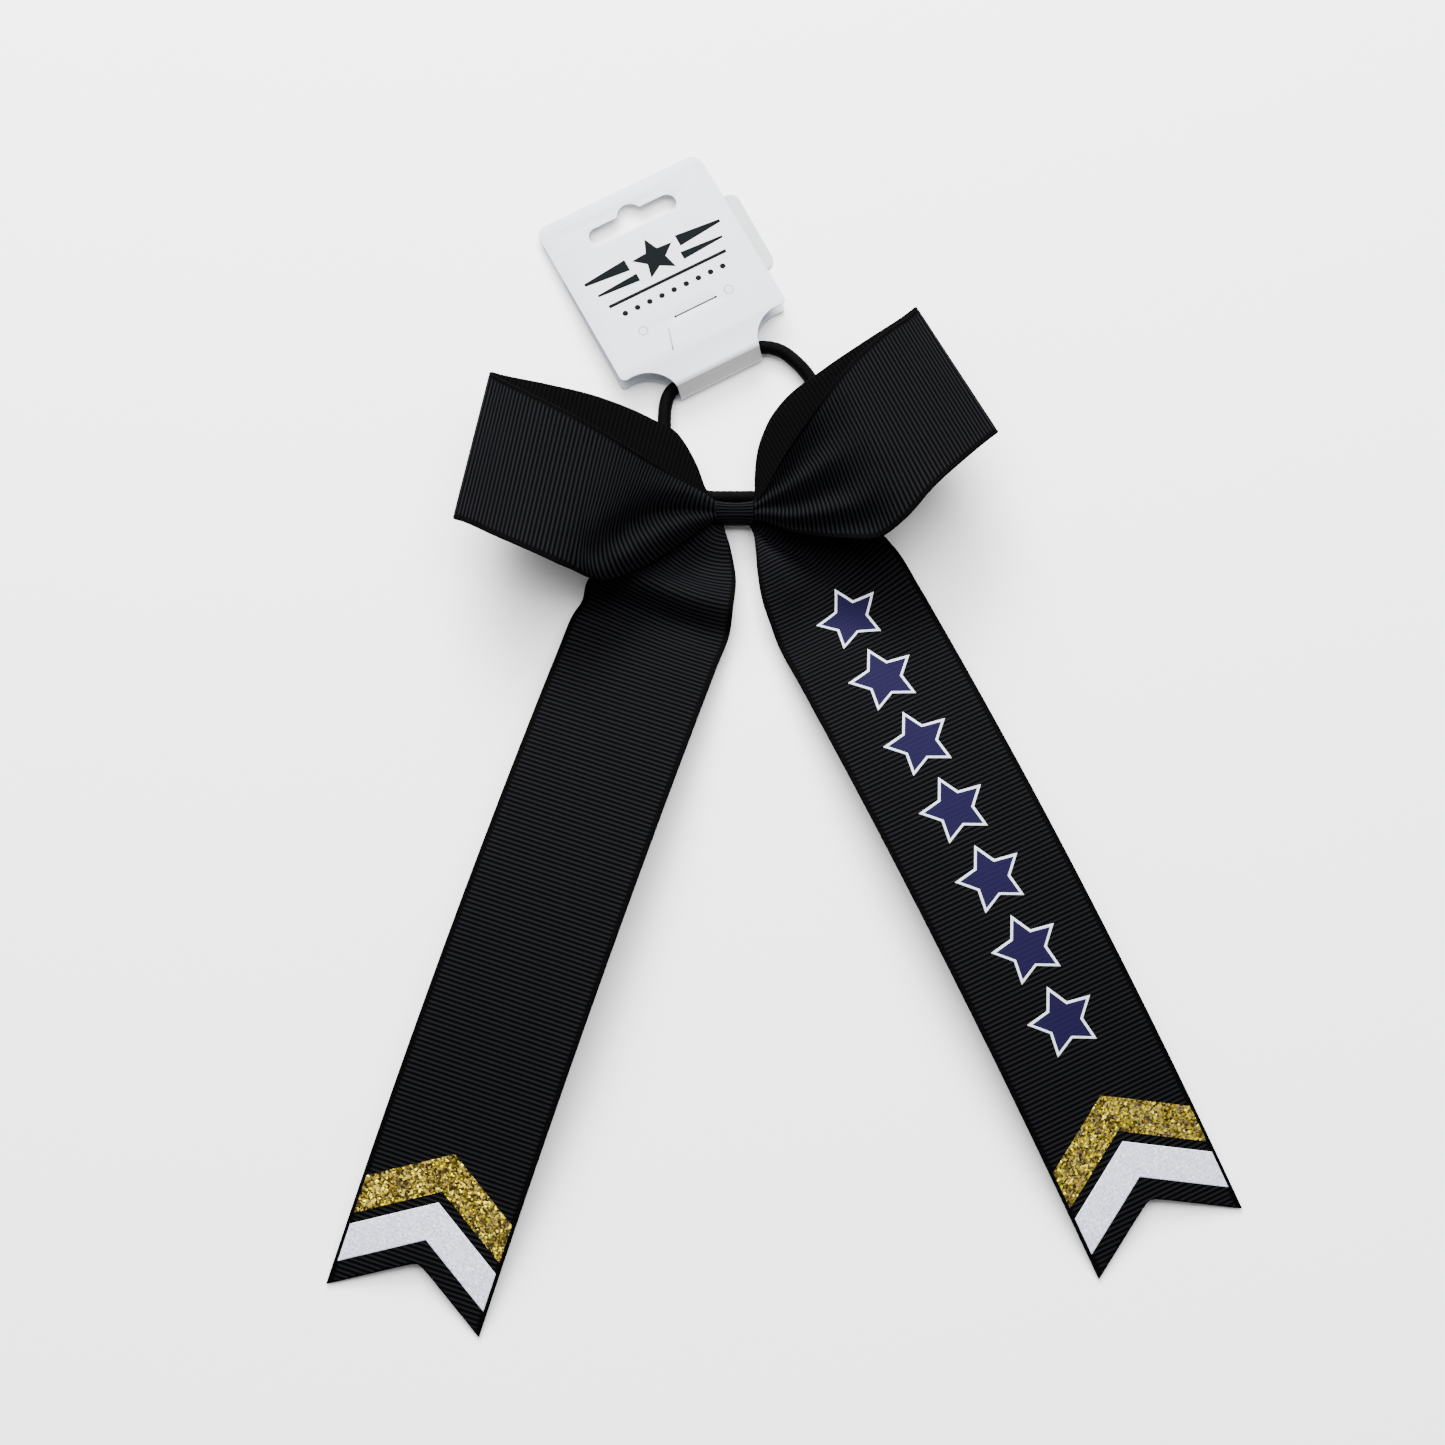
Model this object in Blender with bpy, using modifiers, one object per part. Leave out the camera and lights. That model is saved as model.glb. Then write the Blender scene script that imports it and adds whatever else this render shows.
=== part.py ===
"""Cheer hair bow on its hang card, lying face up on a flat surface.

+Z points up out of the bow's face, +Y from the tails towards the card, +X to the viewer's right.
The origin is the middle of the glue pad's flat back, which lies on the surface at z = 0.
Lengths below are in millimetres and are turned into metres by MM where a mesh is made.
"""
import math

import bmesh
import bpy
from mathutils import Matrix, Vector

MM = 0.001
COLLECTION = "cheer_hair_bow"
TOUCH_GAP = 0.3  # clearance between pieces that touch on the real bow

# Finishes: colour, roughness and, where it isn't zero, metallic value
RIBBON_BLACK = ((0.012, 0.012, 0.014), 0.8)
TIE_BLACK = ((0.02, 0.02, 0.02), 0.4)
GLUE_BLACK = ((0.03, 0.03, 0.03), 0.35)
ELASTIC_BLACK = ((0.01, 0.009, 0.009), 0.6)
CARD_WHITE = ((0.72, 0.73, 0.76), 0.6)
LABEL_WHITE = ((0.7, 0.72, 0.72), 0.5)
GOLD = ((0.72, 0.5, 0.1), 0.35, 0.7)
GLITTER_WHITE = ((0.72, 0.72, 0.8), 0.4)
VINYL_WHITE = ((0.75, 0.78, 0.85), 0.45)
VINYL_NAVY = ((0.03, 0.022, 0.16), 0.45)

# Fineness of the meshes: steps across and along a ribbon, or round a curve
LOOP_STEPS = (16, 54)
ROOT_STEPS = (12, 20)
LONG_TAIL_STEPS = (8, 22)
CORE_STEPS = 28
BAND_STEPS = 36
NOTCH_STEPS = 14
SLOT_STEPS = 10  # for each round end and for the hump
CARD_CORNER_STEPS = 6
LOBE_STEPS = 4
LABEL_CORNER_STEPS = 5
PAD_CORNER_STEPS = 4

# Ribbon
RIBBON_WIDTH = 57.15  # 2 1/4 inch grosgrain
RIBBON_THICKNESS = 0.8
HALF_RIBBON = RIBBON_WIDTH / 2

# Knot: pinched pleats, the cable tie round their waist, the centre wrap and the glue pad
KNOT_Y = -1.2  # of the knot's middle
KNOT_HEIGHT = 8.4  # of the knot's middle above the surface
CORE_RADII = (3.2, 4.4)  # across Y and Z
CORE_HALF_LENGTH = 7.8
WAIST_SHARE = 0.7
WAIST_HALF_LENGTH = 2.3
TIE_INNER_RADII = (2.5, 3.4)
TIE_THICKNESS = 0.7
TIE_WIDTH = 3.6
WRAP_INNER_RADII = (3.6, 4.9)
WRAP_THICKNESS = 0.6
WRAP_WIDTH = 13.8
PAD_SIZE = (13.0, 8.0, 1.5)
PAD_Y = 0.9  # of the pad's middle, so that it reaches the elastic
PAD_CORNER = 1.2

# Hair elastic: one ring of round cord, glued to the back of the knot and threaded through the card
ELASTIC_DIAMETER = 5.0
ELASTIC_HEIGHT = 3.65
ELASTIC_RUN_Y = 6.7  # the run that crosses the back of the knot
ANCHOR_HALF_LENGTH = 8.5
STRETCH_START_Y = 20.0
STRETCH_END_Y = 43.0
ELASTIC_STEP = 3.6  # along the cord between the tube's rings
SQUARE_END = 1.3  # straight length at each end of a run

# Hang card: a front panel and a back flap joined by a narrow folded strip that holds the elastic
CARD_ANGLE = math.radians(27.8)
CARD_FOLD_CENTRE = (-5.0, 54.8)  # middle of the lower crease
BOARD_THICKNESS = 0.5
CARD_HALF_WIDTH = 35.0
PANEL_LENGTH = 83.9
FLAP_LENGTH = 68.0
FLAP_HEIGHT = 0.75  # of the back flap's middle plane
UPPER_CREASE = (3.6, 10.0)  # away from the lower crease, and above the surface
PANEL_TOP_HEIGHT = 1.7  # of the front panel's far edge
NOTCH_RADIUS = 13.2
NOTCH_CENTRE_U = 30.5
PANEL_NOTCH_CENTRE = -2.9  # from the upper crease
FLAP_NOTCH_CENTRE = 0.8  # from the lower crease
CARD_CORNER = 4.5
LOBE_CORNER = 2.2
LOBE_START = -60  # degrees, where the lobe's rounding takes over from the notch
FLAP_CORNER = 6.0
SLOT_CENTRE = 69.8
SLOT_HALF_LENGTH = 18.4
SLOT_RADIUS = 3.8
SLOT_HUMP_RADIUS = 5.0
SLOT_HUMP_RISE = 2.2
SLIT_CENTRE = (3.8, 24.8)
SLIT_LENGTH = 17.4
SLIT_WIDTH = 0.7
LABEL_THICKNESS = 0.2
LABEL_SIZE = (46.0, 34.5)
LABEL_CENTRE = (17.9, 49.6)
LABEL_CORNER = 4.0
SWIVEL_DISTANCE = 4.7  # of the elastic's straight run from the lower crease
# The elastic through the fold: along the lower crease and away from it, straight in the middle
IN_FOLD = [(24.6, -0.6), (21.4, 2.4), (17.4, 4.4), (9.4, 4.7), (0.0, 4.7)]
IN_FOLD += [(-9.4, 4.7), (-17.0, 4.5), (-20.2, 3.4), (-22.7, 1.3), (-24.8, -1.4)]

# Points on the right side's joint axes; the left side mirrors them
LOOP_AXIS = (10.0, 1.0, 9.6)
SWAY_AXIS = (8.0, -5.0, 4.4)

# Tails
NOTCH_DEPTH = 17.7  # of the swallowtail cut
TAIL_CROWN = 15.9  # how far the tail arches up between the fold line and its tips
TAIL_TIP_HEIGHT = 0.45
TAIL_FOLD_HEIGHT = 9.0
FOLD_GAP = 0.7  # between root and long tail, so the tail can fold up 60 degrees

# Heat-set vinyl
VINYL_THICKNESS = 0.25
CHEVRON_MARGIN = 1.4
CHEVRON_BAND = 13.6  # along the tail
GOLD_APEX = 39.3  # above the swallowtail's apex
WHITE_APEX = 21.7
STAR_COUNT = 7
STAR_PITCH = 28.2
STAR_RADIUS = 13.2
STAR_INNER_SHARE = 0.52
STAR_OUTLINE = 1.9
FIRST_STAR = -14.1  # along the right tail from its fold line

# Cross sections of the ribbon, each a row of points from its upper edge to its lower edge. Each loop
# runs out from the knot on its back layer, turns at the outer fold and comes back on its front layer.
LEFT_LOOP = [
    [(-10.8, 8.4, 9.2), (-11.6, 2.0, 9.5), (-12.4, -5.0, 8.9)],
    [(-14.0, 17.0, 10.0), (-17.0, 5.0, 10.4), (-20.0, -8.0, 10.0)],
    [(-20.6, 28.2, 12.0), (-25.0, 8.0, 12.2), (-29.6, -12.6, 12.0)],
    [(-31.0, 34.2, 14.0), (-43.0, -17.0, 14.6)],
    [(-50.0, 41.0, 18.4), (-62.0, -15.5, 18.4)],
    [(-70.0, 44.5, 23.2), (-82.0, -12.5, 23.2)],
    [(-86.6, 46.8, 26.7), (-99.0, -10.2, 26.7)],
    [(-90.3, 47.2, 28.3), (-102.7, -10.0, 28.3)],
    [(-90.3, 46.2, 30.0), (-102.7, -11.0, 30.0)],
    [(-87.0, 43.2, 32.6), (-99.2, -13.0, 32.6)],
    [(-76.0, 35.5, 38.2), (-87.0, -20.5, 38.4)],
    [(-60.0, 26.0, 41.0), (-71.5, -28.0, 40.0)],
    [(-49.0, 20.4, 38.4), (-54.5, -5.0, 39.0), (-60.4, -32.0, 36.0)],
    [(-41.5, 16.8, 35.2), (-46.6, -3.5, 36.2), (-50.6, -17.0, 34.8), (-51.6, -24.6, 31.2),
     (-50.6, -30.6, 30.4), (-47.6, -33.4, 24.6)],
    [(-35.5, 14.0, 31.6), (-40.2, -0.5, 33.0), (-43.6, -10.4, 31.8), (-44.4, -17.0, 27.2),
     (-41.8, -24.6, 27.0), (-36.2, -27.6, 18.2)],
    [(-29.5, 11.6, 27.2), (-33.6, 1.0, 29.0), (-36.6, -5.2, 27.8), (-37.0, -10.2, 23.2),
     (-33.4, -17.6, 23.6), (-26.4, -20.4, 14.2)],
    [(-23.5, 9.4, 22.6), (-26.6, 2.4, 24.8), (-28.8, -1.4, 23.6), (-29.0, -5.0, 19.4),
     (-25.0, -11.4, 19.8), (-18.4, -13.6, 11.8)],
    [(-17.6, 7.2, 18.4), (-19.4, 2.6, 20.4), (-20.6, 0.2, 19.4), (-20.6, -2.9, 15.9),
     (-17.4, -7.0, 16.4), (-12.8, -9.0, 10.6)],
    [(-12.4, 5.2, 14.8), (-13.0, 2.2, 16.2), (-13.4, 0.4, 15.6), (-13.4, -2.1, 13.2),
     (-11.8, -4.6, 13.4), (-9.4, -6.2, 9.9)],
]
RIGHT_LOOP = [
    [(7.3, 12.0, 9.6), (10.0, 3.6, 10.0), (13.4, -5.8, 9.2)],
    [(8.0, 20.6, 10.3), (13.4, 7.0, 10.8), (19.6, -7.6, 10.6)],
    [(11.4, 31.4, 12.2), (20.8, 11.4, 12.4), (31.0, -9.6, 12.6)],
    [(18.0, 41.0, 14.8), (46.0, -8.5, 14.8)],
    [(33.0, 52.0, 19.2), (61.5, 2.5, 19.2)],
    [(50.0, 62.5, 23.8), (79.0, 13.0, 23.8)],
    [(63.8, 71.0, 26.7), (93.1, 21.3, 26.7)],
    [(67.0, 73.0, 28.3), (96.4, 23.3, 28.3)],
    [(67.2, 72.2, 30.0), (96.6, 22.6, 30.0)],
    [(65.2, 68.8, 32.4), (93.8, 19.6, 32.4)],
    [(56.0, 60.0, 37.6), (84.0, 9.5, 38.0)],
    [(45.5, 49.4, 40.0), (72.0, -2.6, 40.8)],
    [(38.0, 41.0, 38.6), (49.0, 14.0, 40.2), (61.0, -14.5, 38.2)],
    [(31.5, 33.2, 35.4), (36.0, 22.5, 34.0), (40.0, 13.0, 37.0), (44.0, 3.0, 34.8),
     (47.0, -5.0, 35.6), (50.0, -12.0, 31.6), (52.0, -19.0, 32.2)],
    [(26.0, 26.2, 31.2), (29.0, 17.5, 26.4), (32.5, 9.6, 32.4), (35.8, 0.5, 27.2), (38.4, -7.0, 31.4),
     (39.6, -12.6, 26.6), (40.6, -17.6, 27.2)],
    [(20.8, 19.6, 26.6), (22.8, 12.4, 20.8), (25.0, 5.8, 27.2), (27.0, -1.0, 21.6),
     (28.4, -7.4, 25.6), (28.8, -11.4, 20.8), (29.4, -14.4, 20.6)],
    [(16.0, 13.4, 20.6), (17.2, 8.2, 16.2), (18.4, 3.6, 21.0), (19.2, -1.6, 16.8), (19.6, -6.2, 19.6),
     (19.6, -9.0, 16.0), (19.8, -10.8, 15.6)],
    [(12.4, 8.0, 16.0), (12.8, 5.2, 13.8), (13.2, 2.4, 16.4), (13.4, -0.8, 13.8), (13.4, -3.8, 15.2),
     (13.2, -5.6, 12.9), (13.2, -6.8, 12.0)],
]
# Gathered root of each tail, from its outer edge to its inner edge, from the knot down to the fold line
LEFT_ROOT = [
    [(-11.4, -2.2, 5.0), (-9.6, -4.6, 6.6), (-7.4, -6.8, 6.6), (-4.6, -8.8, 6.8)],
    [(-19.0, -5.2, 6.0), (-13.6, -7.6, 8.0), (-8.0, -10.2, 7.0), (-2.2, -12.4, 7.6)],
    [(-33.0, -11.0, 6.2), (-24.0, -13.8, 7.8), (-12.4, -18.4, 5.2), (-0.4, -20.4, 6.4)],
    [(-46.0, -18.6, 7.8), (-33.0, -21.6, 9.6), (-16.0, -25.0, 7.0), (0.4, -28.0, 8.0)],
    [(-54.0, -27.4, 10.0), (-37.0, -29.0, 12.2), (-18.0, -34.4, 11.6), (-0.6, -38.4, 10.6)],
    [(-56.6, -34.6, 6.0), (-39.2, -37.6, 5.4), (-21.0, -43.4, 5.2), (-2.2, -48.6, 5.8)],
]
RIGHT_ROOT = [
    [(11.4, -1.6, 5.0), (10.0, -4.0, 6.8), (8.8, -6.4, 5.6), (7.2, -8.8, 7.0)],
    [(22.0, -2.8, 5.6), (17.6, -6.4, 7.8), (13.6, -11.0, 4.8), (10.0, -13.6, 8.8), (7.6, -15.4, 8.4)],
    [(37.0, -3.6, 6.4), (30.0, -8.8, 8.6), (23.6, -16.2, 4.8), (15.6, -21.4, 10.6), (8.2, -24.4, 9.6)],
    [(50.0, -5.4, 7.2), (41.6, -12.8, 9.2), (33.0, -22.6, 5.2), (21.4, -29.6, 9.6), (9.8, -34.6, 9.0)],
]
# Middle of each tail's fold line, the lean of its straight part from -Y, its length to the tips, and
# how far above the fold line its gathered root is already full width
LEFT_TAIL = {"side": -1, "fold": (-37.3, -62.0), "lean": -18.9, "length": 245.3, "flat": (-12.0,)}
RIGHT_TAIL = {"side": 1, "fold": (48.3, -53.8), "lean": 25.8, "length": 241.0, "flat": (-28.0, -14.0)}

# The elastic's route seen from above, from the knot round the right side to the card and back
ELASTIC_RIGHT = [(8.8, 6.7), (13.5, 7.1), (19.5, 10.2), (25.4, 15.8), (30.2, 23.2), (32.6, 31.6)]
ELASTIC_RIGHT += [(32.8, 40.0), (31.2, 48.2), (27.8, 55.4), (22.8, 61.4)]
ELASTIC_LEFT = [(-26.5, 36.0), (-26.0, 28.0), (-23.6, 20.0), (-19.2, 12.8), (-13.6, 7.8), (-8.8, 6.7)]


# ---------------------------------------------------------------- scene and helpers

def clear_scene():
    for obj in list(bpy.data.objects):
        bpy.data.objects.remove(obj, do_unlink=True)


def new_collection(name):
    collection = bpy.data.collections.new(name)
    bpy.context.scene.collection.children.link(collection)
    return collection


def material(name, colour, roughness, metallic=0.0):
    mat = bpy.data.materials.new(name)
    mat.use_nodes = True
    shader = mat.node_tree.nodes["Principled BSDF"]
    shader.inputs["Base Color"].default_value = (*colour, 1.0)
    shader.inputs["Roughness"].default_value = roughness
    shader.inputs["Metallic"].default_value = metallic
    mat.diffuse_color = (*colour, 1.0)
    return mat


def link(obj, finish):
    PARTS.objects.link(obj)
    obj.data.materials.append(material("mat_" + obj.name, *finish))
    return obj


def mesh_object(name, bm, finish):
    """Turn a bmesh in millimetres into a named object in metres."""
    bmesh.ops.recalc_face_normals(bm, faces=bm.faces)
    mesh = bpy.data.meshes.new(name)
    bm.transform(Matrix.Scale(MM, 4))
    bm.to_mesh(mesh)
    bm.free()
    return link(bpy.data.objects.new(name, mesh), finish)


def smooth(obj, angle=40):
    obj.data.shade_smooth()
    obj.data.set_sharp_from_angle(angle=math.radians(angle))
    return obj


def thicken(obj, thickness, offset=0.0):
    shell = obj.modifiers.new("thickness", "SOLIDIFY")
    shell.thickness = thickness * MM
    shell.offset = offset
    return obj


def pivot(name, point, parent=None):
    """An empty on a joint's axis; what it carries is parented to it."""
    empty = bpy.data.objects.new(name, None)
    empty.empty_display_size = 10 * MM
    PARTS.objects.link(empty)
    PIVOT_POINTS[name] = Vector(point)
    start = PIVOT_POINTS[parent.name] if parent else Vector()
    empty.parent = parent
    empty.location = (PIVOT_POINTS[name] - start) * MM
    return empty


def carry(empty, *objects):
    """Hang pieces on a pivot, with each mesh's origin moved onto the pivot."""
    point = PIVOT_POINTS[empty.name] * MM
    for obj in objects:
        if obj.type == "MESH":
            obj.data.transform(Matrix.Translation(-point))
        else:
            obj.location -= point
        obj.parent = empty


def spline(knots, values, at):
    """Cubic through vectors given at increasing knots, with slopes from their neighbours."""
    last = len(knots) - 1
    i = max(j for j in range(last) if knots[j] <= at or j == 0)

    def slope(k):
        a, b = max(k - 1, 0), min(k + 1, last)
        return (values[b] - values[a]) / (knots[b] - knots[a])

    span = knots[i + 1] - knots[i]
    x = (at - knots[i]) / span
    start = values[i] * (2 * x**3 - 3 * x**2 + 1) + slope(i) * span * (x**3 - 2 * x**2 + x)
    end = values[i + 1] * (3 * x**2 - 2 * x**3) + slope(i + 1) * span * (x**3 - x**2)
    return start + end


def running_length(points):
    total = [0.0]
    for a, b in zip(points, points[1:]):
        total.append(total[-1] + (b - a).length)
    return total


def across_section(points, share):
    """A point at that share of the way along a section's own curve."""
    points = [Vector(point) for point in points]
    if len(points) == 2:
        return points[0].lerp(points[1], share)
    knots = running_length(points)
    return spline(knots, points, knots[-1] * share)


def strip_between(sections):
    """Surface of a ribbon laid through sections: across 0..1 from first edge, along 0..1."""
    knots = running_length([across_section(section, 0.5) for section in sections])

    def place(across, along):
        threads = [across_section(section, across) for section in sections]
        return spline(knots, threads, along * knots[-1])

    return place


def ribbon(name, place, across_steps, along_steps, finish):
    """A grid laid over a ribbon surface and given the ribbon's thickness."""
    bm = bmesh.new()
    bmesh.ops.create_grid(bm, x_segments=across_steps, y_segments=along_steps, size=0.5)
    for vert in bm.verts:
        vert.co = place(vert.co.x + 0.5, vert.co.y + 0.5)
    return smooth(thicken(mesh_object(name, bm, finish), RIBBON_THICKNESS))


def mirrored(point, side):
    """A point of the right side, or its mirror image where side is -1."""
    return (side * point[0], point[1], point[2])


def arc(centre, radius, start, end, steps):
    """Points on an arc in the plane, angles in degrees."""
    points = []
    for i in range(steps + 1):
        turn = math.radians(start + (end - start) * i / steps)
        points.append((centre[0] + radius * math.cos(turn), centre[1] + radius * math.sin(turn)))
    return points


# ---------------------------------------------------------------- knot

def knot_core():
    """The pinched pleats of loops and tails, drawn in at the waist."""
    waist = CORE_RADII[0] * WAIST_SHARE
    profile = [
        (-CORE_HALF_LENGTH, 0.0),
        (-CORE_HALF_LENGTH, CORE_RADII[0]),
        (-WAIST_HALF_LENGTH, CORE_RADII[0]),
        (-WAIST_HALF_LENGTH, waist),
        (WAIST_HALF_LENGTH, waist),
        (WAIST_HALF_LENGTH, CORE_RADII[0]),
        (CORE_HALF_LENGTH, CORE_RADII[0]),
        (CORE_HALF_LENGTH, 0.0),
    ]
    bm = bmesh.new()
    verts = [bm.verts.new((x, radius, 0)) for x, radius in profile]
    edges = [bm.edges.new(pair) for pair in zip(verts, verts[1:])]
    bmesh.ops.spin(
        bm, geom=verts + edges, cent=(0, 0, 0), axis=(1, 0, 0),
        angle=math.tau, steps=CORE_STEPS, use_merge=True
    )
    bmesh.ops.remove_doubles(bm, verts=bm.verts, dist=0.01)
    bm.transform(Matrix.Diagonal((1, 1, CORE_RADII[1] / CORE_RADII[0], 1)))
    bm.transform(Matrix.Translation((0, KNOT_Y, KNOT_HEIGHT)))
    return smooth(mesh_object("knot_pleats", bm, RIBBON_BLACK))


def oval_band(name, radii, thickness, width, finish):
    """A short open tube round the knot, thickened outwards."""
    bm = bmesh.new()
    bmesh.ops.create_cone(bm, cap_ends=False, segments=BAND_STEPS, radius1=1, radius2=1, depth=width)
    bm.transform(Matrix.Rotation(math.radians(90), 4, "Y"))
    bm.transform(Matrix.Diagonal((1, radii[0], radii[1], 1)))
    bm.transform(Matrix.Translation((0, KNOT_Y, KNOT_HEIGHT)))
    return smooth(thicken(mesh_object(name, bm, finish), thickness, offset=1.0))


def rounded_block(name, size, centre, corner, finish):
    """A block with its upright edges rounded."""
    bm = bmesh.new()
    bmesh.ops.create_cube(bm, size=1)
    bm.transform(Matrix.Diagonal((*size, 1)))
    bm.transform(Matrix.Translation(centre))
    upright = [e for e in bm.edges if abs((e.verts[0].co - e.verts[1].co).z) > size[2] / 2]
    bmesh.ops.bevel(
        bm, geom=upright, offset=corner, segments=PAD_CORNER_STEPS, affect="EDGES", profile=0.5
    )
    return mesh_object(name, bm, finish)


def knot():
    knot_core()
    oval_band("cable_tie", TIE_INNER_RADII, TIE_THICKNESS, TIE_WIDTH, TIE_BLACK)
    oval_band("center_wrap", WRAP_INNER_RADII, WRAP_THICKNESS, WRAP_WIDTH, RIBBON_BLACK)
    rounded_block("glue_pad", PAD_SIZE, (0, PAD_Y, PAD_SIZE[2] / 2), PAD_CORNER, GLUE_BLACK)


# ---------------------------------------------------------------- hair elastic

def card_point(u, distance, height):
    """A point from the middle of the lower crease: along it, away from it, and above the surface."""
    along = Vector((math.cos(CARD_ANGLE), math.sin(CARD_ANGLE), 0))
    away = Vector((-math.sin(CARD_ANGLE), math.cos(CARD_ANGLE), 0))
    return Vector((*CARD_FOLD_CENTRE, height)) + along * u + away * distance


def elastic_path():
    """Evenly spaced points along the free part of the ring, right side first."""
    in_fold = [card_point(u, away, ELASTIC_HEIGHT) for u, away in IN_FOLD]
    right = [Vector((x, y, ELASTIC_HEIGHT)) for x, y in ELASTIC_RIGHT]
    left = [Vector((x, y, ELASTIC_HEIGHT)) for x, y in ELASTIC_LEFT]
    route = right + in_fold + left
    knots = running_length(route)
    count = round(knots[-1] / ELASTIC_STEP)
    return [spline(knots, route, knots[-1] * i / count) for i in range(count + 1)]


def tube(name, points, diameter, finish):
    data = bpy.data.curves.new(name, "CURVE")
    data.dimensions = "3D"
    data.bevel_depth = diameter / 2 * MM
    data.bevel_resolution = 2
    data.use_fill_caps = True
    line = data.splines.new("POLY")
    line.points.add(len(points) - 1)
    for target, point in zip(line.points, points):
        target.co = (*(Vector(point) * MM), 1)
    return link(bpy.data.objects.new(name, data), finish)


def run_between(path, start, end):
    """Part of the cord with half the touching gap off each end, its ends square to the path."""
    run = path[start + 1 : end]
    for stop, sign in ((start, 1), (end, -1)):
        before, after = path[max(stop - 1, 0)], path[min(stop + 1, len(path) - 1)]
        tangent = (after - before).normalized() * sign
        square = [path[stop] + tangent * TOUCH_GAP / 2, path[stop] + tangent * SQUARE_END]
        run = square + run if sign > 0 else run + square[::-1]
    return run


def elastic():
    path = elastic_path()
    top = max(range(len(path)), key=lambda i: path[i].y)

    def first_past(indices, height):
        return next(i for i in indices if path[i].y >= height)

    rising = range(top)
    falling = range(len(path) - 1, top, -1)
    cuts = [
        first_past(rising, STRETCH_START_Y),
        first_past(rising, STRETCH_END_Y),
        first_past(falling, STRETCH_END_Y),
        first_past(falling, STRETCH_START_Y),
    ]
    stops = [0, *cuts, len(path) - 1]
    names = ["base_right", "strand_right", "bight", "strand_left", "base_left"]
    pieces = {}
    for name, start, end in zip(names, stops, stops[1:]):
        points = run_between(path, start, end)
        pieces[name] = tube("elastic_" + name, points, ELASTIC_DIAMETER, ELASTIC_BLACK)
    reach = ANCHOR_HALF_LENGTH
    ends = [(x, ELASTIC_RUN_Y, ELASTIC_HEIGHT) for x in (-reach, 0, reach)]
    tube("elastic_anchor", ends, ELASTIC_DIAMETER, ELASTIC_BLACK)

    swing = pivot("swing_axis", (0, ELASTIC_RUN_Y, ELASTIC_HEIGHT))
    carry(swing, pieces["base_left"], pieces["base_right"])
    carry(swing, pieces["strand_left"], pieces["strand_right"])
    stretch = pivot("stretch_slide", (0, STRETCH_END_Y, ELASTIC_HEIGHT), swing)
    carry(stretch, pieces["bight"])
    return stretch


# ---------------------------------------------------------------- hang card

def panel_outline(length, notch_centre, far_corner):
    """Half outline from the crease round the notch, its lobe and the far corner, then mirrored."""
    reach = CARD_HALF_WIDTH
    crease_turn = math.degrees(math.acos(-notch_centre / NOTCH_RADIUS))
    lobe_turn = math.degrees(math.acos((reach - LOBE_CORNER - NOTCH_CENTRE_U) / NOTCH_RADIUS))
    notch = arc((NOTCH_CENTRE_U, notch_centre), NOTCH_RADIUS, 90 + crease_turn, lobe_turn, NOTCH_STEPS)
    rim = notch[-1]
    lobe = arc((rim[0], rim[1] + LOBE_CORNER), LOBE_CORNER, LOBE_START, 0, LOBE_STEPS)
    corner = arc((reach - far_corner, length - far_corner), far_corner, 0, 90, CARD_CORNER_STEPS)
    half = notch + lobe + corner
    return half + [(-u, w) for u, w in reversed(half)]


def slot_outline():
    """Hang slot: a long slot with round ends and a hump in the middle of its upper side."""
    reach = SLOT_HALF_LENGTH - SLOT_RADIUS
    right = arc((reach, SLOT_CENTRE), SLOT_RADIUS, -90, 90, SLOT_STEPS)
    left = arc((-reach, SLOT_CENTRE), SLOT_RADIUS, 90, 270, SLOT_STEPS)
    middle = SLOT_CENTRE + SLOT_HUMP_RISE
    low = math.degrees(math.asin((SLOT_CENTRE + SLOT_RADIUS - middle) / SLOT_HUMP_RADIUS))
    hump = arc((0, middle), SLOT_HUMP_RADIUS, low, 180 - low, SLOT_STEPS)
    return right + hump + left


def slit_outline():
    u, w = SLIT_CENTRE
    half, side = SLIT_LENGTH / 2, SLIT_WIDTH / 2
    return [(u - half, w - side), (u + half, w - side), (u + half, w + side), (u - half, w + side)]


def plate(name, outlines, thickness, matrix, finish):
    """Flat board from closed outlines, the first the rim and the others holes."""
    data = bpy.data.curves.new(name, "CURVE")
    data.dimensions = "2D"
    data.fill_mode = "BOTH"
    data.extrude = thickness / 2 * MM
    for outline in outlines:
        line = data.splines.new("POLY")
        line.points.add(len(outline) - 1)
        line.use_cyclic_u = True
        for target, (u, w) in zip(line.points, outline):
            target.co = (u * MM, w * MM, 0, 1)
    obj = link(bpy.data.objects.new(name, data), finish)
    obj.rotation_euler = matrix.to_euler()
    obj.location = matrix.translation * MM
    return obj


def rounded_rectangle(centre, size, corner):
    half = (size[0] / 2 - corner, size[1] / 2 - corner)
    points = []
    for quarter, (sx, sy) in enumerate(((1, 1), (-1, 1), (-1, -1), (1, -1))):
        middle = (centre[0] + sx * half[0], centre[1] + sy * half[1])
        points += arc(middle, corner, 90 * quarter, 90 * quarter + 90, LABEL_CORNER_STEPS)
    return points


def card_matrix(distance, height, slope):
    """Plane through a line parallel to the crease, leaning up by slope radians away from it."""
    place = Matrix.Translation(card_point(0, distance, height))
    return place @ Matrix.Rotation(CARD_ANGLE, 4, "Z") @ Matrix.Rotation(slope, 4, "X")


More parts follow.
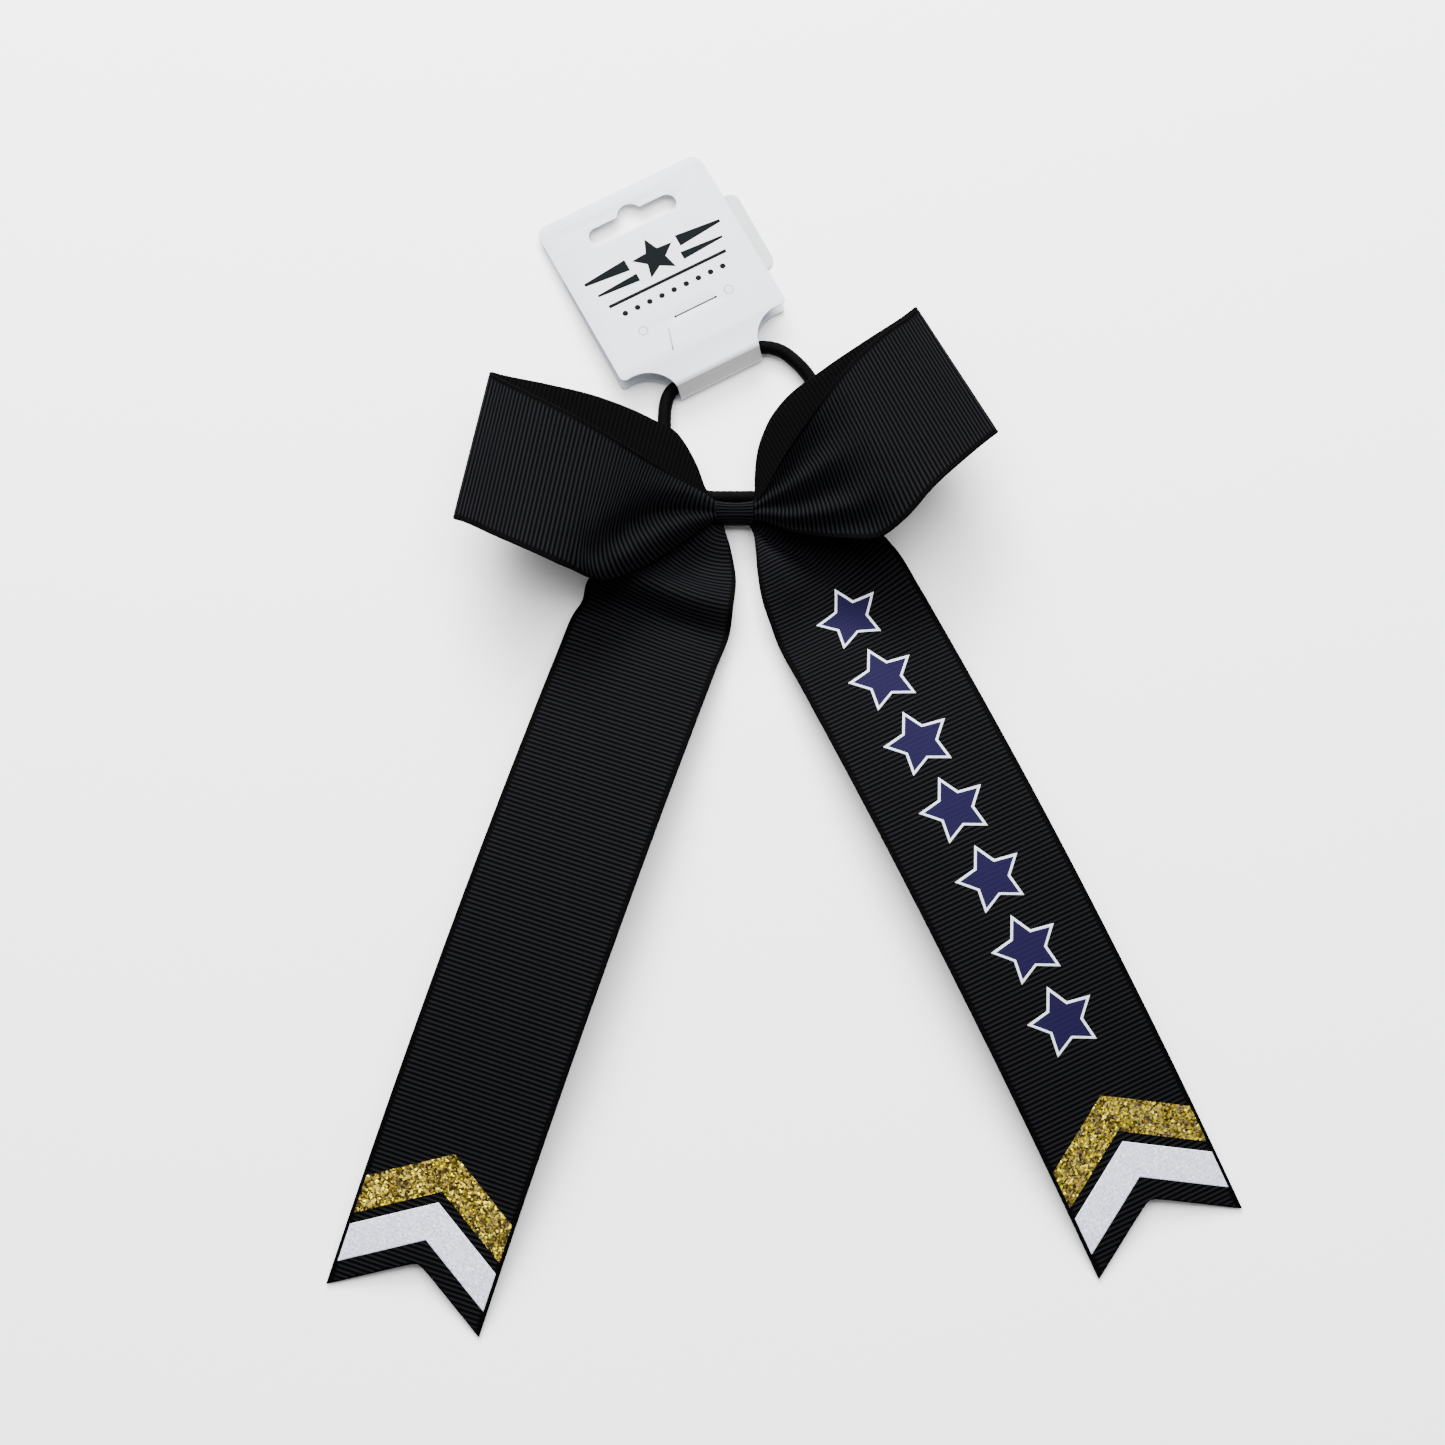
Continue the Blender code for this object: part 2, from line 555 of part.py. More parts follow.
def hang_card(stretch):
    flat = card_matrix(0, FLAP_HEIGHT, 0)
    flap = panel_outline(FLAP_LENGTH, FLAP_NOTCH_CENTRE, FLAP_CORNER)
    back = plate("card_back_flap", [flap], BOARD_THICKNESS, flat, CARD_WHITE)

    under = FLAP_HEIGHT - BOARD_THICKNESS / 2 - TOUCH_GAP - LABEL_THICKNESS / 2
    label_shape = rounded_rectangle(LABEL_CENTRE, LABEL_SIZE, LABEL_CORNER)
    stuck = card_matrix(0, under, 0)
    label = plate("card_seal_label", [label_shape], LABEL_THICKNESS, stuck, LABEL_WHITE)

    run, rise = UPPER_CREASE
    rise -= FLAP_HEIGHT
    strip_slope = math.atan2(rise, run)
    strip_length = math.hypot(run, rise)
    reach = NOTCH_CENTRE_U - NOTCH_RADIUS
    low = BOARD_THICKNESS / 2 + TOUCH_GAP
    high = strip_length - BOARD_THICKNESS / 2 - TOUCH_GAP
    strip_shape = [(-reach, low), (reach, low), (reach, high), (-reach, high)]
    leaning = card_matrix(0, FLAP_HEIGHT, strip_slope)
    strip = plate("card_fold_strip", [strip_shape], BOARD_THICKNESS, leaning, CARD_WHITE)

    panel_slope = -math.asin((UPPER_CREASE[1] - PANEL_TOP_HEIGHT) / PANEL_LENGTH)
    face = card_matrix(*UPPER_CREASE, panel_slope)
    rim = panel_outline(PANEL_LENGTH, PANEL_NOTCH_CENTRE, CARD_CORNER)
    holes = [rim, slot_outline(), slit_outline()]
    front = plate("card_front_panel", holes, BOARD_THICKNESS, face, CARD_WHITE)

    swivel = pivot("card_swivel_axis", card_point(0, SWIVEL_DISTANCE, ELASTIC_HEIGHT), stretch)
    carry(swivel, back, label, strip)
    crease = pivot("card_crease_axis", card_point(0, *UPPER_CREASE), swivel)
    carry(crease, front)


# ---------------------------------------------------------------- loops

def loops():
    for name, sections in (("loop_left", LEFT_LOOP), ("loop_right", RIGHT_LOOP)):
        band = ribbon(name, strip_between(sections), *LOOP_STEPS, RIBBON_BLACK)
        side = math.copysign(1, sections[0][0][0])
        carry(pivot(name + "_axis", mirrored(LOOP_AXIS, side)), band)


# ---------------------------------------------------------------- tails

def tail_point(tail, along, across, lift=0.0):
    """A point on the straight tail: along it from the fold line, across it, and above its middle."""
    lean = math.radians(tail["lean"])
    down = Vector((math.sin(lean), -math.cos(lean), 0))
    outward = Vector((math.cos(lean), math.sin(lean), 0)) * tail["side"]
    share = along / tail["length"]
    height = TAIL_FOLD_HEIGHT * (1 - share) ** 2 + 4 * TAIL_CROWN * share * (1 - share)
    slope = 4 * TAIL_CROWN * (1 - 2 * share) - 2 * TAIL_FOLD_HEIGHT * (1 - share)
    slope /= tail["length"]
    normal = (Vector((0, 0, 1)) - down * slope).normalized()
    start = Vector((*tail["fold"], TAIL_TIP_HEIGHT + height))
    return start + down * along + outward * across + normal * lift


def end_of_tail(tail, across):
    """Where the swallowtail cut lies, along the tail."""
    return tail["length"] - NOTCH_DEPTH * (1 - abs(across) / HALF_RIBBON)


def long_tail(name, tail):
    def place(across, along):
        offset = (across - 0.5) * RIBBON_WIDTH
        start = FOLD_GAP / 2
        return tail_point(tail, start + along * (end_of_tail(tail, offset) - start), offset)

    return ribbon(name, place, *LONG_TAIL_STEPS, RIBBON_BLACK)


def tail_root(name, tail, sections):
    """The gathered stretch between the knot and the tail's fold line."""
    edges = []
    for along in (*tail["flat"], -FOLD_GAP / 2):
        edges.append([tail_point(tail, along, across) for across in (HALF_RIBBON, -HALF_RIBBON)])
    place = strip_between(sections + [tuple(pair) for pair in edges])
    return ribbon(name, place, *ROOT_STEPS, RIBBON_BLACK)


def on_tail(name, tail, outline, level, finish):
    """A flat vinyl cut-out laid over the tail; outline points are (along, across)."""
    bottom = RIBBON_THICKNESS / 2 + TOUCH_GAP + level * (VINYL_THICKNESS + TOUCH_GAP)
    bm = bmesh.new()
    corners = [bm.verts.new((along, across, 0)) for along, across in outline]
    rim = [bm.edges.new(pair) for pair in zip(corners, corners[1:] + corners[:1])]
    face = bmesh.ops.contextual_create(bm, geom=rim)["faces"][0]
    raised = bmesh.ops.extrude_face_region(bm, geom=[face])["geom"]
    for vert in [item for item in raised if isinstance(item, bmesh.types.BMVert)]:
        vert.co.z = VINYL_THICKNESS
    for vert in bm.verts:
        vert.co = tail_point(tail, vert.co.x, vert.co.y, bottom + vert.co.z)
    bmesh.ops.triangulate(bm, faces=bm.faces)
    return mesh_object(name, bm, finish)


def chevron(tail, apex):
    """A band parallel to the swallowtail cut, with its apex that far above the cut's apex."""
    reach = HALF_RIBBON - CHEVRON_MARGIN
    top = tail["length"] - NOTCH_DEPTH - apex
    drop = NOTCH_DEPTH * reach / HALF_RIBBON
    upper = [(top + drop, -reach), (top, 0), (top + drop, reach)]
    lower = [(along + CHEVRON_BAND, across) for along, across in reversed(upper)]
    return upper + lower


def star(centre, radius):
    points = []
    for i in range(10):
        reach = radius * (STAR_INNER_SHARE if i % 2 else 1)
        turn = math.pi * (1 + i / 5)
        points.append((centre + reach * math.cos(turn), reach * math.sin(turn)))
    return points


def tails():
    below = {}
    for side, tail, root_sections in (
        ("left", LEFT_TAIL, LEFT_ROOT),
        ("right", RIGHT_TAIL, RIGHT_ROOT),
    ):
        root = tail_root(f"tail_{side}_root", tail, root_sections)
        sway = pivot(f"tail_{side}_sway_axis", mirrored(SWAY_AXIS, tail["side"]))
        carry(sway, root)
        fold = pivot(f"tail_{side}_fold_axis", tail_point(tail, 0, 0), sway)
        below[side] = (sway, fold)
        carry(fold, long_tail(f"tail_{side}", tail))
        gold = chevron(tail, GOLD_APEX)
        white = chevron(tail, WHITE_APEX)
        carry(fold, on_tail(f"chevron_gold_{side}", tail, gold, 0, GOLD))
        carry(fold, on_tail(f"chevron_white_{side}", tail, white, 0, GLITTER_WHITE))
    for number in range(STAR_COUNT):
        centre = FIRST_STAR + number * STAR_PITCH
        holder = below["right"][0 if number == 0 else 1]
        outer = star(centre, STAR_RADIUS)
        inner = star(centre, STAR_RADIUS - STAR_OUTLINE)
        base = on_tail(f"star_white_{number + 1}", RIGHT_TAIL, outer, 0, VINYL_WHITE)
        top = on_tail(f"star_navy_{number + 1}", RIGHT_TAIL, inner, 1, VINYL_NAVY)
        carry(holder, base, top)


PIVOT_POINTS = {}
clear_scene()
PARTS = new_collection(COLLECTION)
knot()
hang_card(elastic())
loops()
tails()
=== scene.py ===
"""Looks for the cheer hair bow on its hang card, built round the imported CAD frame.

Shapes are worked out in millimetres in the CAD's own frame and turned into metres by MM.
"""

import math

import bmesh
import bpy
import numpy as np
from mathutils import Matrix, Vector


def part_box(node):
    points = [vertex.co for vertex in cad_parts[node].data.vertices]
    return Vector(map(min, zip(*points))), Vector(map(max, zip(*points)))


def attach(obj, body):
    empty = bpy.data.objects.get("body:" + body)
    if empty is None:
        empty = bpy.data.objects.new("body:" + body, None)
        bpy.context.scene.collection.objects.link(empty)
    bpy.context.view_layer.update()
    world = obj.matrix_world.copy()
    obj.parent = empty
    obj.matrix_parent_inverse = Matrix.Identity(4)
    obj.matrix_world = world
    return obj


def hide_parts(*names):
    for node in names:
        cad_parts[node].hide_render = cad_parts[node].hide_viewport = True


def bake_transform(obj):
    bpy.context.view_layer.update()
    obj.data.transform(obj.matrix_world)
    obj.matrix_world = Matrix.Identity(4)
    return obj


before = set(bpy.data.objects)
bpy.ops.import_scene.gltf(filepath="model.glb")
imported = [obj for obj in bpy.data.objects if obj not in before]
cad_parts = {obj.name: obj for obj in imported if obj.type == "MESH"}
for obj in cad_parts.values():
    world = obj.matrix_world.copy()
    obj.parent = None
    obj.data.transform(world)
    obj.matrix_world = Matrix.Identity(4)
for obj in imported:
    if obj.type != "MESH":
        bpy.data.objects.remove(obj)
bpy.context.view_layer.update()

MM = 0.001

# Ribbon
WIDTH = 57.15
HALF = WIDTH / 2
BODY_THICKNESS = 0.3
RIB_PITCH = 1.68
RIB_HEIGHT = 0.2
RIB_PROFILE = ((0.0, 0.0), (0.13, 0.62), (0.32, 0.95), (0.5, 1.0), (0.68, 0.95), (0.87, 0.62))
EDGE_COLUMNS = (0.0, 0.35, 0.85, 1.3, 1.8, 2.6)
EDGE_RIB_SHARE = (0.3, 0.75, 0.8, 0.45, 0.9, 1.0)
EDGE_LIFT = (-0.08, 0.04, 0.08, -0.03, 0.02, 0.0)
COLUMN_STEP = 1.45
TAIL_COLUMN_STEP = 2.0

# Tails
NOTCH_DEPTH = 17.7
NOTCH_ROUNDING = 1.3
TAIL_CROWN = 15.9
TIP_HEIGHT = 0.45
FOLD_HEIGHT = 9.0

# Card
CARD_ANGLE = math.radians(27.8)
CARD_ORIGIN = (-5.0, 54.8)

# Elastic
CORD_RADIUS = 2.5
CORD_HEIGHT = 3.65
CORD_RUN_Y = 6.7

# Knot
KNOT_Y = -1.2
KNOT_HEIGHT = 8.4
CORE_RADII = (8.6, 3.2, 4.4)
WRAP_HALF = 6.9
WRAP_RIBS = 22
WRAP_ROWS = 33
WRAP_COLUMNS = 240
WRAP_OUTER_RADII = (3.95, 5.35)  # across Y and Z
WRAP_INNER_RADII = (3.55, 4.95)
WRAP_PINCH = (0.08, 4.2)  # share that its waist is drawn in by, and how wide the waist is
WRAP_FLARE = 0.12  # share that its edges stand out by
WRAP_RIB_HEIGHT = 0.24
PLEATS = 5
PLEAT_HEIGHT = 0.22
PLEAT_TURN = 0.6
PLEAT_REACH = 9
GLUE_CORNER = 3
GLUE_RIM = 0.6

# Camera, placed in metres and tilted back from looking straight down
CAMERA_PLACE = (-0.00463, -0.42421, 1.20158)
CAMERA_TILT = math.radians(16)
CAMERA_LENS = 84.7
CAMERA_SENSOR = 36


# ---------------------------------------------------------------- camera

def make_camera():
    data = bpy.data.cameras.new("camera")
    data.lens = CAMERA_LENS
    data.sensor_width = CAMERA_SENSOR
    data.clip_start = 0.05
    data.clip_end = 20
    cam = bpy.data.objects.new("camera", data)
    bpy.context.scene.collection.objects.link(cam)
    cam.location = CAMERA_PLACE
    cam.rotation_euler = (CAMERA_TILT, 0, 0)
    bpy.context.scene.camera = cam


make_camera()


# ---------------------------------------------------------------- curves and grids

def spline(knots, values, at):
    """Cubic through the values, given at increasing knots, with slopes from their neighbours."""
    knots, values, at = np.asarray(knots, float), np.asarray(values, float), np.asarray(at, float)
    slopes = np.empty_like(values)
    gaps = knots[1:] - knots[:-1]
    shape = (-1,) + (1,) * (values.ndim - 1)
    steps = (values[1:] - values[:-1]) / gaps.reshape(shape)
    slopes[0], slopes[-1] = steps[0], steps[-1]
    before, after = gaps[:-1].reshape(shape), gaps[1:].reshape(shape)
    slopes[1:-1] = (steps[:-1] * after + steps[1:] * before) / (before + after)
    i = np.clip(np.searchsorted(knots, at, side="right") - 1, 0, len(knots) - 2)
    span = gaps[i].reshape(shape)
    x = ((at - knots[i]) / gaps[i]).reshape(shape)
    start = values[i] * (2 * x**3 - 3 * x**2 + 1) + slopes[i] * span * (x**3 - 2 * x**2 + x)
    end = values[i + 1] * (3 * x**2 - 2 * x**3) + slopes[i + 1] * span * (x**3 - x**2)
    return start + end


def lengths(points):
    return np.concatenate([[0], np.cumsum(np.linalg.norm(np.diff(points, axis=0), axis=-1))])


def evenly(points, shares):
    """Points at those shares of the length of a smooth curve through the given points."""
    points = np.asarray(points, float)
    if len(points) == 2:
        return points[0] + (points[1] - points[0]) * np.asarray(shares)[:, None]
    knots = lengths(points)
    fine = spline(knots, points, np.linspace(0, knots[-1], 240))
    run = lengths(fine)
    at = np.asarray(shares) * run[-1]
    return np.stack([np.interp(at, run, fine[:, k]) for k in range(3)], axis=1)


def column_places(middle_step):
    """Distances from the ribbon's first edge at which it has a column of points."""
    inner = EDGE_COLUMNS[-1]
    count = round((WIDTH - 2 * inner) / middle_step)
    middle = list(np.linspace(inner, WIDTH - inner, count + 1))[1:-1]
    return np.array([*EDGE_COLUMNS, *middle, *[WIDTH - d for d in reversed(EDGE_COLUMNS)]])


def normals_of(grid):
    along = np.gradient(grid, axis=0)
    across = np.gradient(grid, axis=1)
    normal = np.cross(across, along)
    return normal / np.maximum(np.linalg.norm(normal, axis=2, keepdims=True), 1e-9)


class Ribbon:
    """A ribbon's smooth middle surface, laid through cross sections. At the sections named in straight
    its ribs lie parallel to the section, and between them they keep their pitch along every thread."""

    def __init__(self, sections, straight, face_up, middle_step=COLUMN_STEP, guided=0.0):
        self.columns = column_places(middle_step)
        shares = self.columns / WIDTH
        lines = np.stack([evenly(s, shares) for s in sections])
        knots = lengths(lines.mean(axis=1))
        self.fine = spline(knots, lines, np.linspace(0, knots[-1], int(knots[-1] / 0.35)))
        steps = np.linalg.norm(np.diff(self.fine, axis=0), axis=2)
        run = np.concatenate([np.zeros((1, steps.shape[1])), np.cumsum(steps, axis=0)])
        at = np.linspace(0, knots[-1], len(self.fine))
        marks = [int(np.argmin(abs(at - knots[i]))) for i in (0, *straight, len(sections) - 1)]
        self.run = self.levelled(run, marks)
        if guided:
            every = [int(np.argmin(abs(at - k))) for k in knots]
            self.run += guided * (self.levelled(run, every) - self.run)
        self.length = self.run[-1, 0]
        self.face_up = face_up

    @staticmethod
    def levelled(run, marks):
        """Lengths along the columns, scaled so that at each mark they are the same in every column."""
        level = np.empty_like(run)
        start = 0.0
        for a, b in zip(marks, marks[1:]):
            part = run[a : b + 1] - run[a]
            mean = part[-1].mean()
            level[a : b + 1] = start + part * mean / part[-1]
            start += mean
        return level

    def rows(self, places):
        """Points of the middle surface and their normals, for every column at those places along it."""
        grid = np.empty((len(places), len(self.columns), 3))
        for c in range(len(self.columns)):
            for k in range(3):
                grid[:, c, k] = np.interp(places, self.run[:, c], self.fine[:, c, k])
        return grid, normals_of(grid) * self.face_up

    def lookup(self, start, end, step=0.6):
        """A function from places (along, across from the middle) to points and normals."""
        places = np.arange(start, end + step, step)
        grid, normal = self.rows(places)

        def find(along, across, lift=0.0):
            i = np.clip((np.asarray(along) - places[0]) / step, 0, len(places) - 1.001)
            j = np.interp(np.asarray(across) + HALF, self.columns, np.arange(len(self.columns)))
            j = np.clip(j, 0, len(self.columns) - 1.001)
            a, b = i.astype(int), j.astype(int)
            x, y = (i - a)[:, None], (j - b)[:, None]

            def mix(field):
                low = field[a, b] * (1 - x) + field[a + 1, b] * x
                high = field[a, b + 1] * (1 - x) + field[a + 1, b + 1] * x
                return low * (1 - y) + high * y

            face = mix(normal)
            face /= np.linalg.norm(face, axis=1, keepdims=True)
            return mix(grid) + face * np.asarray(lift)[..., None], face

        return find


def rib_rows(start, end):
    """Places along the ribbon of the rows that shape each rib, and how high the rib is there."""
    first, last = math.floor(start / RIB_PITCH), math.ceil(end / RIB_PITCH)
    rows = [((k + p) * RIB_PITCH, h) for k in range(first, last) for p, h in RIB_PROFILE]
    rows = [(s, h) for s, h in rows if start < s < end]
    return np.array([start, *[s for s, _ in rows], end]), np.array([0.0, *[h for _, h in rows], 0.0])


def edge_profile(columns):
    """How the ribs fade and the cloth thins towards the woven edges: rib share and body lift."""
    d = np.minimum(columns, WIDTH - columns)
    return np.interp(d, EDGE_COLUMNS, EDGE_RIB_SHARE), np.interp(d, EDGE_COLUMNS, EDGE_LIFT)


def new_object(name, verts, faces, mat, smooth=True):
    mesh = bpy.data.meshes.new(name)
    mesh.from_pydata((np.asarray(verts) * MM).tolist(), [], faces)
    mesh.update()
    obj = bpy.data.objects.new(name, mesh)
    bpy.context.scene.collection.objects.link(obj)
    if smooth:
        mesh.shade_smooth()
    mesh.materials.append(mat)
    return obj


def turn_outwards(obj, merge=0.0):
    """Turn a closed piece's faces outwards, after joining vertices closer than merge."""
    bm = bmesh.new()
    bm.from_mesh(obj.data)
    if merge:
        bmesh.ops.remove_doubles(bm, verts=bm.verts, dist=merge * MM)
    bmesh.ops.recalc_face_normals(bm, faces=bm.faces)
    bm.to_mesh(obj.data)
    bm.free()


def put_attribute(obj, name, kind, values):
    field = "vector" if kind == "FLOAT_VECTOR" else "value"
    attribute = obj.data.attributes.new(name, kind, "POINT")
    attribute.data.foreach_set(field, np.asarray(values, np.float32).ravel())


def grid_faces(rows, columns, first=0, flip=False):
    i, j = np.meshgrid(np.arange(rows - 1), np.arange(columns - 1), indexing="ij")
    a = (first + i * columns + j).ravel()
    quads = np.stack([a, a + 1, a + columns + 1, a + columns], axis=1)
    return (quads[:, ::-1] if flip else quads).tolist()


def rim_faces(rows, columns, second):
    """Faces that join the rims of two equal grids, the second one starting at that vertex."""
    top = [j for j in range(columns)]
    right = [i * columns + columns - 1 for i in range(rows)]
    bottom = [(rows - 1) * columns + j for j in reversed(range(columns))]
    left = [i * columns for i in reversed(range(rows))]
    loop = top[:-1] + right[:-1] + bottom[:-1] + left[:-1]
    return [[b, a, a + second, b + second] for a, b in zip(loop, loop[1:] + loop[:1])]


def weave(name, ribbon, start, end, mat, cut=None):
    """The ribbon as cloth: ribs on both faces, thin beaded edges, and a cut end if one is given."""
    places, height = rib_rows(start, end)
    grid, normal = ribbon.rows(places)
    ribs, body = edge_profile(ribbon.columns)
    t = ribbon.columns - HALF
    s = np.repeat(places[:, None], len(t), axis=1)
    tall = np.repeat(height[:, None], len(t), axis=1)
    if cut:
        limit = np.array([cut(x) for x in t])
        over = s > limit[None, :]
        fine, face = ribbon.lookup(start, end)(np.broadcast_to(limit, s.shape)[over],
                                               np.broadcast_to(t, s.shape)[over])
        grid[over], normal[over] = fine, face
        tall[over] = 0.0
        s = np.minimum(s, limit[None, :])
    thick = BODY_THICKNESS / 2 + body[None, :] + RIB_HEIGHT * ribs[None, :] * tall
    under = BODY_THICKNESS / 2 + body[None, :] + RIB_HEIGHT * ribs[None, :] * (1 - tall)
    top = grid + normal * thick[..., None]
    bottom = grid - normal * under[..., None]
    rows, columns = s.shape
    verts = np.concatenate([top.reshape(-1, 3), bottom.reshape(-1, 3)])
    count = rows * columns
    flip = ribbon.face_up < 0
    faces = grid_faces(rows, columns, flip=not flip) + grid_faces(rows, columns, count, flip=flip)
    rim = rim_faces(rows, columns, count)
    faces += [f[::-1] for f in rim] if not flip else rim
    obj = new_object(name, verts, faces, mat)
    flat = np.stack([np.broadcast_to(t, s.shape), s, np.zeros(s.shape)], axis=2).reshape(-1, 3)
    put_attribute(obj, "flat", "FLOAT_VECTOR", np.concatenate([flat, flat]))
    # The rib attribute sets the painted crest highlight and valley shade in the ribbon's material.
    painted_crest_light = (tall * ribs[None, :]).ravel()
    put_attribute(obj, "rib", "FLOAT", np.concatenate([painted_crest_light, 1 - painted_crest_light]))
    if cut:
        turn_outwards(obj, merge=0.002)
        obj.data.shade_smooth()
    return obj


# ---------------------------------------------------------------- materials

class Nodes:
    """A material's node tree, with short ways to add and join nodes."""

    def __init__(self, name):
        self.mat = bpy.data.materials.new(name)
        self.mat.use_nodes = True
        self.tree = self.mat.node_tree
        self.shader = self.tree.nodes["Principled BSDF"]

    def add(self, kind, inputs=(), **settings):
        node = self.tree.nodes.new(kind)
        for key, value in settings.items():
            setattr(node, key, value)
        for key, value in dict(inputs).items():
            self.put(node.inputs[key], value)
        return node

    def put(self, socket, value):
        if isinstance(value, bpy.types.NodeSocket):
            self.tree.links.new(value, socket)
        else:
            socket.default_value = value

    def math(self, operation, a, b=0.0):
        return self.add("ShaderNodeMath", {0: a, 1: b}, operation=operation).outputs[0]

    def noise(self, scale, detail=2.0, where=None, roughness=0.5):
        inputs = {"Scale": scale, "Detail": detail, "Roughness": roughness}
        if where is not None:
            inputs["Vector"] = where
        return self.add("ShaderNodeTexNoise", inputs).outputs["Fac"]

    def attribute(self, name, output="Fac"):
        return self.add("ShaderNodeAttribute", attribute_name=name).outputs[output]

    def ramp(self, value, stops):
        node = self.add("ShaderNodeValToRGB", {"Fac": value})
        ramp = node.color_ramp
        while len(ramp.elements) < len(stops):
            ramp.elements.new(0.5)
        for element, (place, colour) in zip(ramp.elements, stops):
            element.position = place
            element.color = (*colour, 1) if len(colour) == 3 else colour
        return node.outputs["Color"]

    def spread(self, value, low, high):
        """A value from 0 to 1 spread between low and high."""
        return self.add("ShaderNodeMapRange", {"Value": value, "To Min": low, "To Max": high}).outputs[0]

    def vector(self, operation, first, second=(0, 0, 0)):
        return self.add("ShaderNodeVectorMath", {0: first, 1: second}, operation=operation).outputs[0]

    def mix(self, share, a, b):
        node = self.add("ShaderNodeMix", data_type="RGBA")
        self.put(node.inputs[0], share)
        self.put(node.inputs[6], a)
        self.put(node.inputs[7], b)
        return node.outputs[2]

    def bump(self, height, strength, distance_mm):
        inputs = {"Height": height, "Strength": strength, "Distance": distance_mm * MM}
        return self.add("ShaderNodeBump", inputs).outputs["Normal"]

    def finish(self, **inputs):
        for key, value in inputs.items():
            self.put(self.shader.inputs[key.replace("_", " ")], value)
        return self.mat


def grey(value):
    return (value, value, value)


def ribbon_material():
    n = Nodes("grosgrain_black")
    flat = n.attribute("flat", "Vector")
    rib = n.attribute("rib")
    across = n.add("ShaderNodeSeparateXYZ", {0: flat}).outputs[0]
    slow = n.noise(0.07, 2.0, flat)
    fine = n.noise(2.2, 3.0, flat)
    thread = n.math("SINE", n.math("MULTIPLY", across, 2 * math.pi / 0.34))
    # Painted highlight and shade: rib crests are coloured lighter and valleys darker, following the rib
    # attribute.
    painted_crest_light = n.ramp(rib, [(0.0, grey(0.00012)), (0.84, (0.0004, 0.0004, 0.0005)),
                         (1.0, (0.0082, 0.0084, 0.0104))])
    # Random darker patches of wear, mixed over the painted crest highlight.
    wear_and_crest_light = n.mix(n.math("MULTIPLY", fine, 0.3), painted_crest_light, (0.0006, 0.0006, 0.0007, 1))
    colour = n.mix(n.math("MULTIPLY", slow, 0.25), wear_and_crest_light, (0.0008, 0.0008, 0.0011, 1))
    rough = n.spread(fine, 0.66, 0.8)
    height = n.math("ADD", n.math("MULTIPLY", thread, 0.5), n.math("MULTIPLY", fine, 0.8))
    return n.finish(
        Base_Color=colour, Roughness=rough, Normal=n.bump(height, 0.35, 0.05), Specular_IOR_Level=0.018
    )


def card_material(name, colour, rough, fibre=0.5):
    n = Nodes(name)
    where = n.add("ShaderNodeTexCoord").outputs["Object"]
    slow = n.noise(60, 3.0, where)
    fibres = n.noise(2600, 4.0, where, 0.65)
    tint = n.mix(n.math("MULTIPLY", slow, 0.35), (*colour, 1), (*[c * 0.93 for c in colour], 1))
    speck = n.ramp(fibres, [(0.0, grey(0.9)), (0.5, grey(1.0)), (1.0, grey(1.0))])
    shade = n.add("ShaderNodeMix", data_type="RGBA", blend_type="MULTIPLY")
    n.put(shade.inputs[0], 0.35)
    n.put(shade.inputs[6], tint)
    n.put(shade.inputs[7], speck)
    return n.finish(
        Base_Color=shade.outputs[2], Roughness=n.spread(slow, rough - 0.06, rough + 0.06),
        Normal=n.bump(fibres, 0.12 * fibre, 0.05), Specular_IOR_Level=0.45
    )


def glitter_material(name, stops, flake_mm, metallic, rough, tilt):
    """Flakes of one size with their own tints and slight tilts; the spread of flake colours is partly their
    own tint and partly painted glints and painted dark reflections.
    """
    n = Nodes(name)
    flat = n.attribute("flat", "Vector")
    cells = n.add("ShaderNodeTexVoronoi", {"Vector": flat, "Scale": 1 / flake_mm}, feature="F1")
    pick = n.add("ShaderNodeSeparateColor", {0: cells.outputs["Color"]})
    colour = n.ramp(pick.outputs[0], stops)
    lean = n.vector("SUBTRACT", cells.outputs["Color"], (0.5, 0.5, 0.5))
    small = n.add("ShaderNodeVectorMath", {0: lean, "Scale": tilt}, operation="SCALE").outputs[0]
    face = n.add("ShaderNodeNewGeometry").outputs["Normal"]
    normal = n.vector("NORMALIZE", n.vector("ADD", face, small))
    roughness = n.spread(pick.outputs[1], rough, rough + 0.25)
    return n.finish(Base_Color=colour, Roughness=roughness, Metallic=metallic, Normal=normal)


def vinyl_material(name, colour, rough, gleam):
    n = Nodes(name)
    flat = n.attribute("flat", "Vector")
    fine = n.noise(3.5, 3.0, flat)
    slow = n.noise(0.15, 2.0, flat)
    tint = n.mix(n.math("MULTIPLY", slow, 0.5), (*colour, 1), (*[c * 0.8 for c in colour], 1))
    rub = n.mix(n.math("MULTIPLY", fine, 0.25), tint, (*[min(c * 1.25 + 0.004, 1) for c in colour], 1))
    return n.finish(
        Base_Color=rub, Roughness=n.spread(fine, rough - 0.08, rough + 0.1),
        Normal=n.bump(fine, 0.2, 0.03), Specular_IOR_Level=gleam
    )


def cord_material():
    n = Nodes("elastic_black")
    flat = n.attribute("flat", "Vector")
    fine = n.noise(3.0, 3.0, flat)
    rib = n.attribute("rib")
    # Painted highlight on the braid's strand crests: lighter where the rib attribute is high.
    colour = n.ramp(rib, [(0.0, grey(0.0004)), (1.0, (0.0014, 0.0013, 0.0014))])
    tint = n.mix(n.math("MULTIPLY", fine, 0.4), colour, (0.0006, 0.0006, 0.0006, 1))
    return n.finish(
        Base_Color=tint, Roughness=0.62, Normal=n.bump(fine, 0.3, 0.05), Specular_IOR_Level=0.015
    )


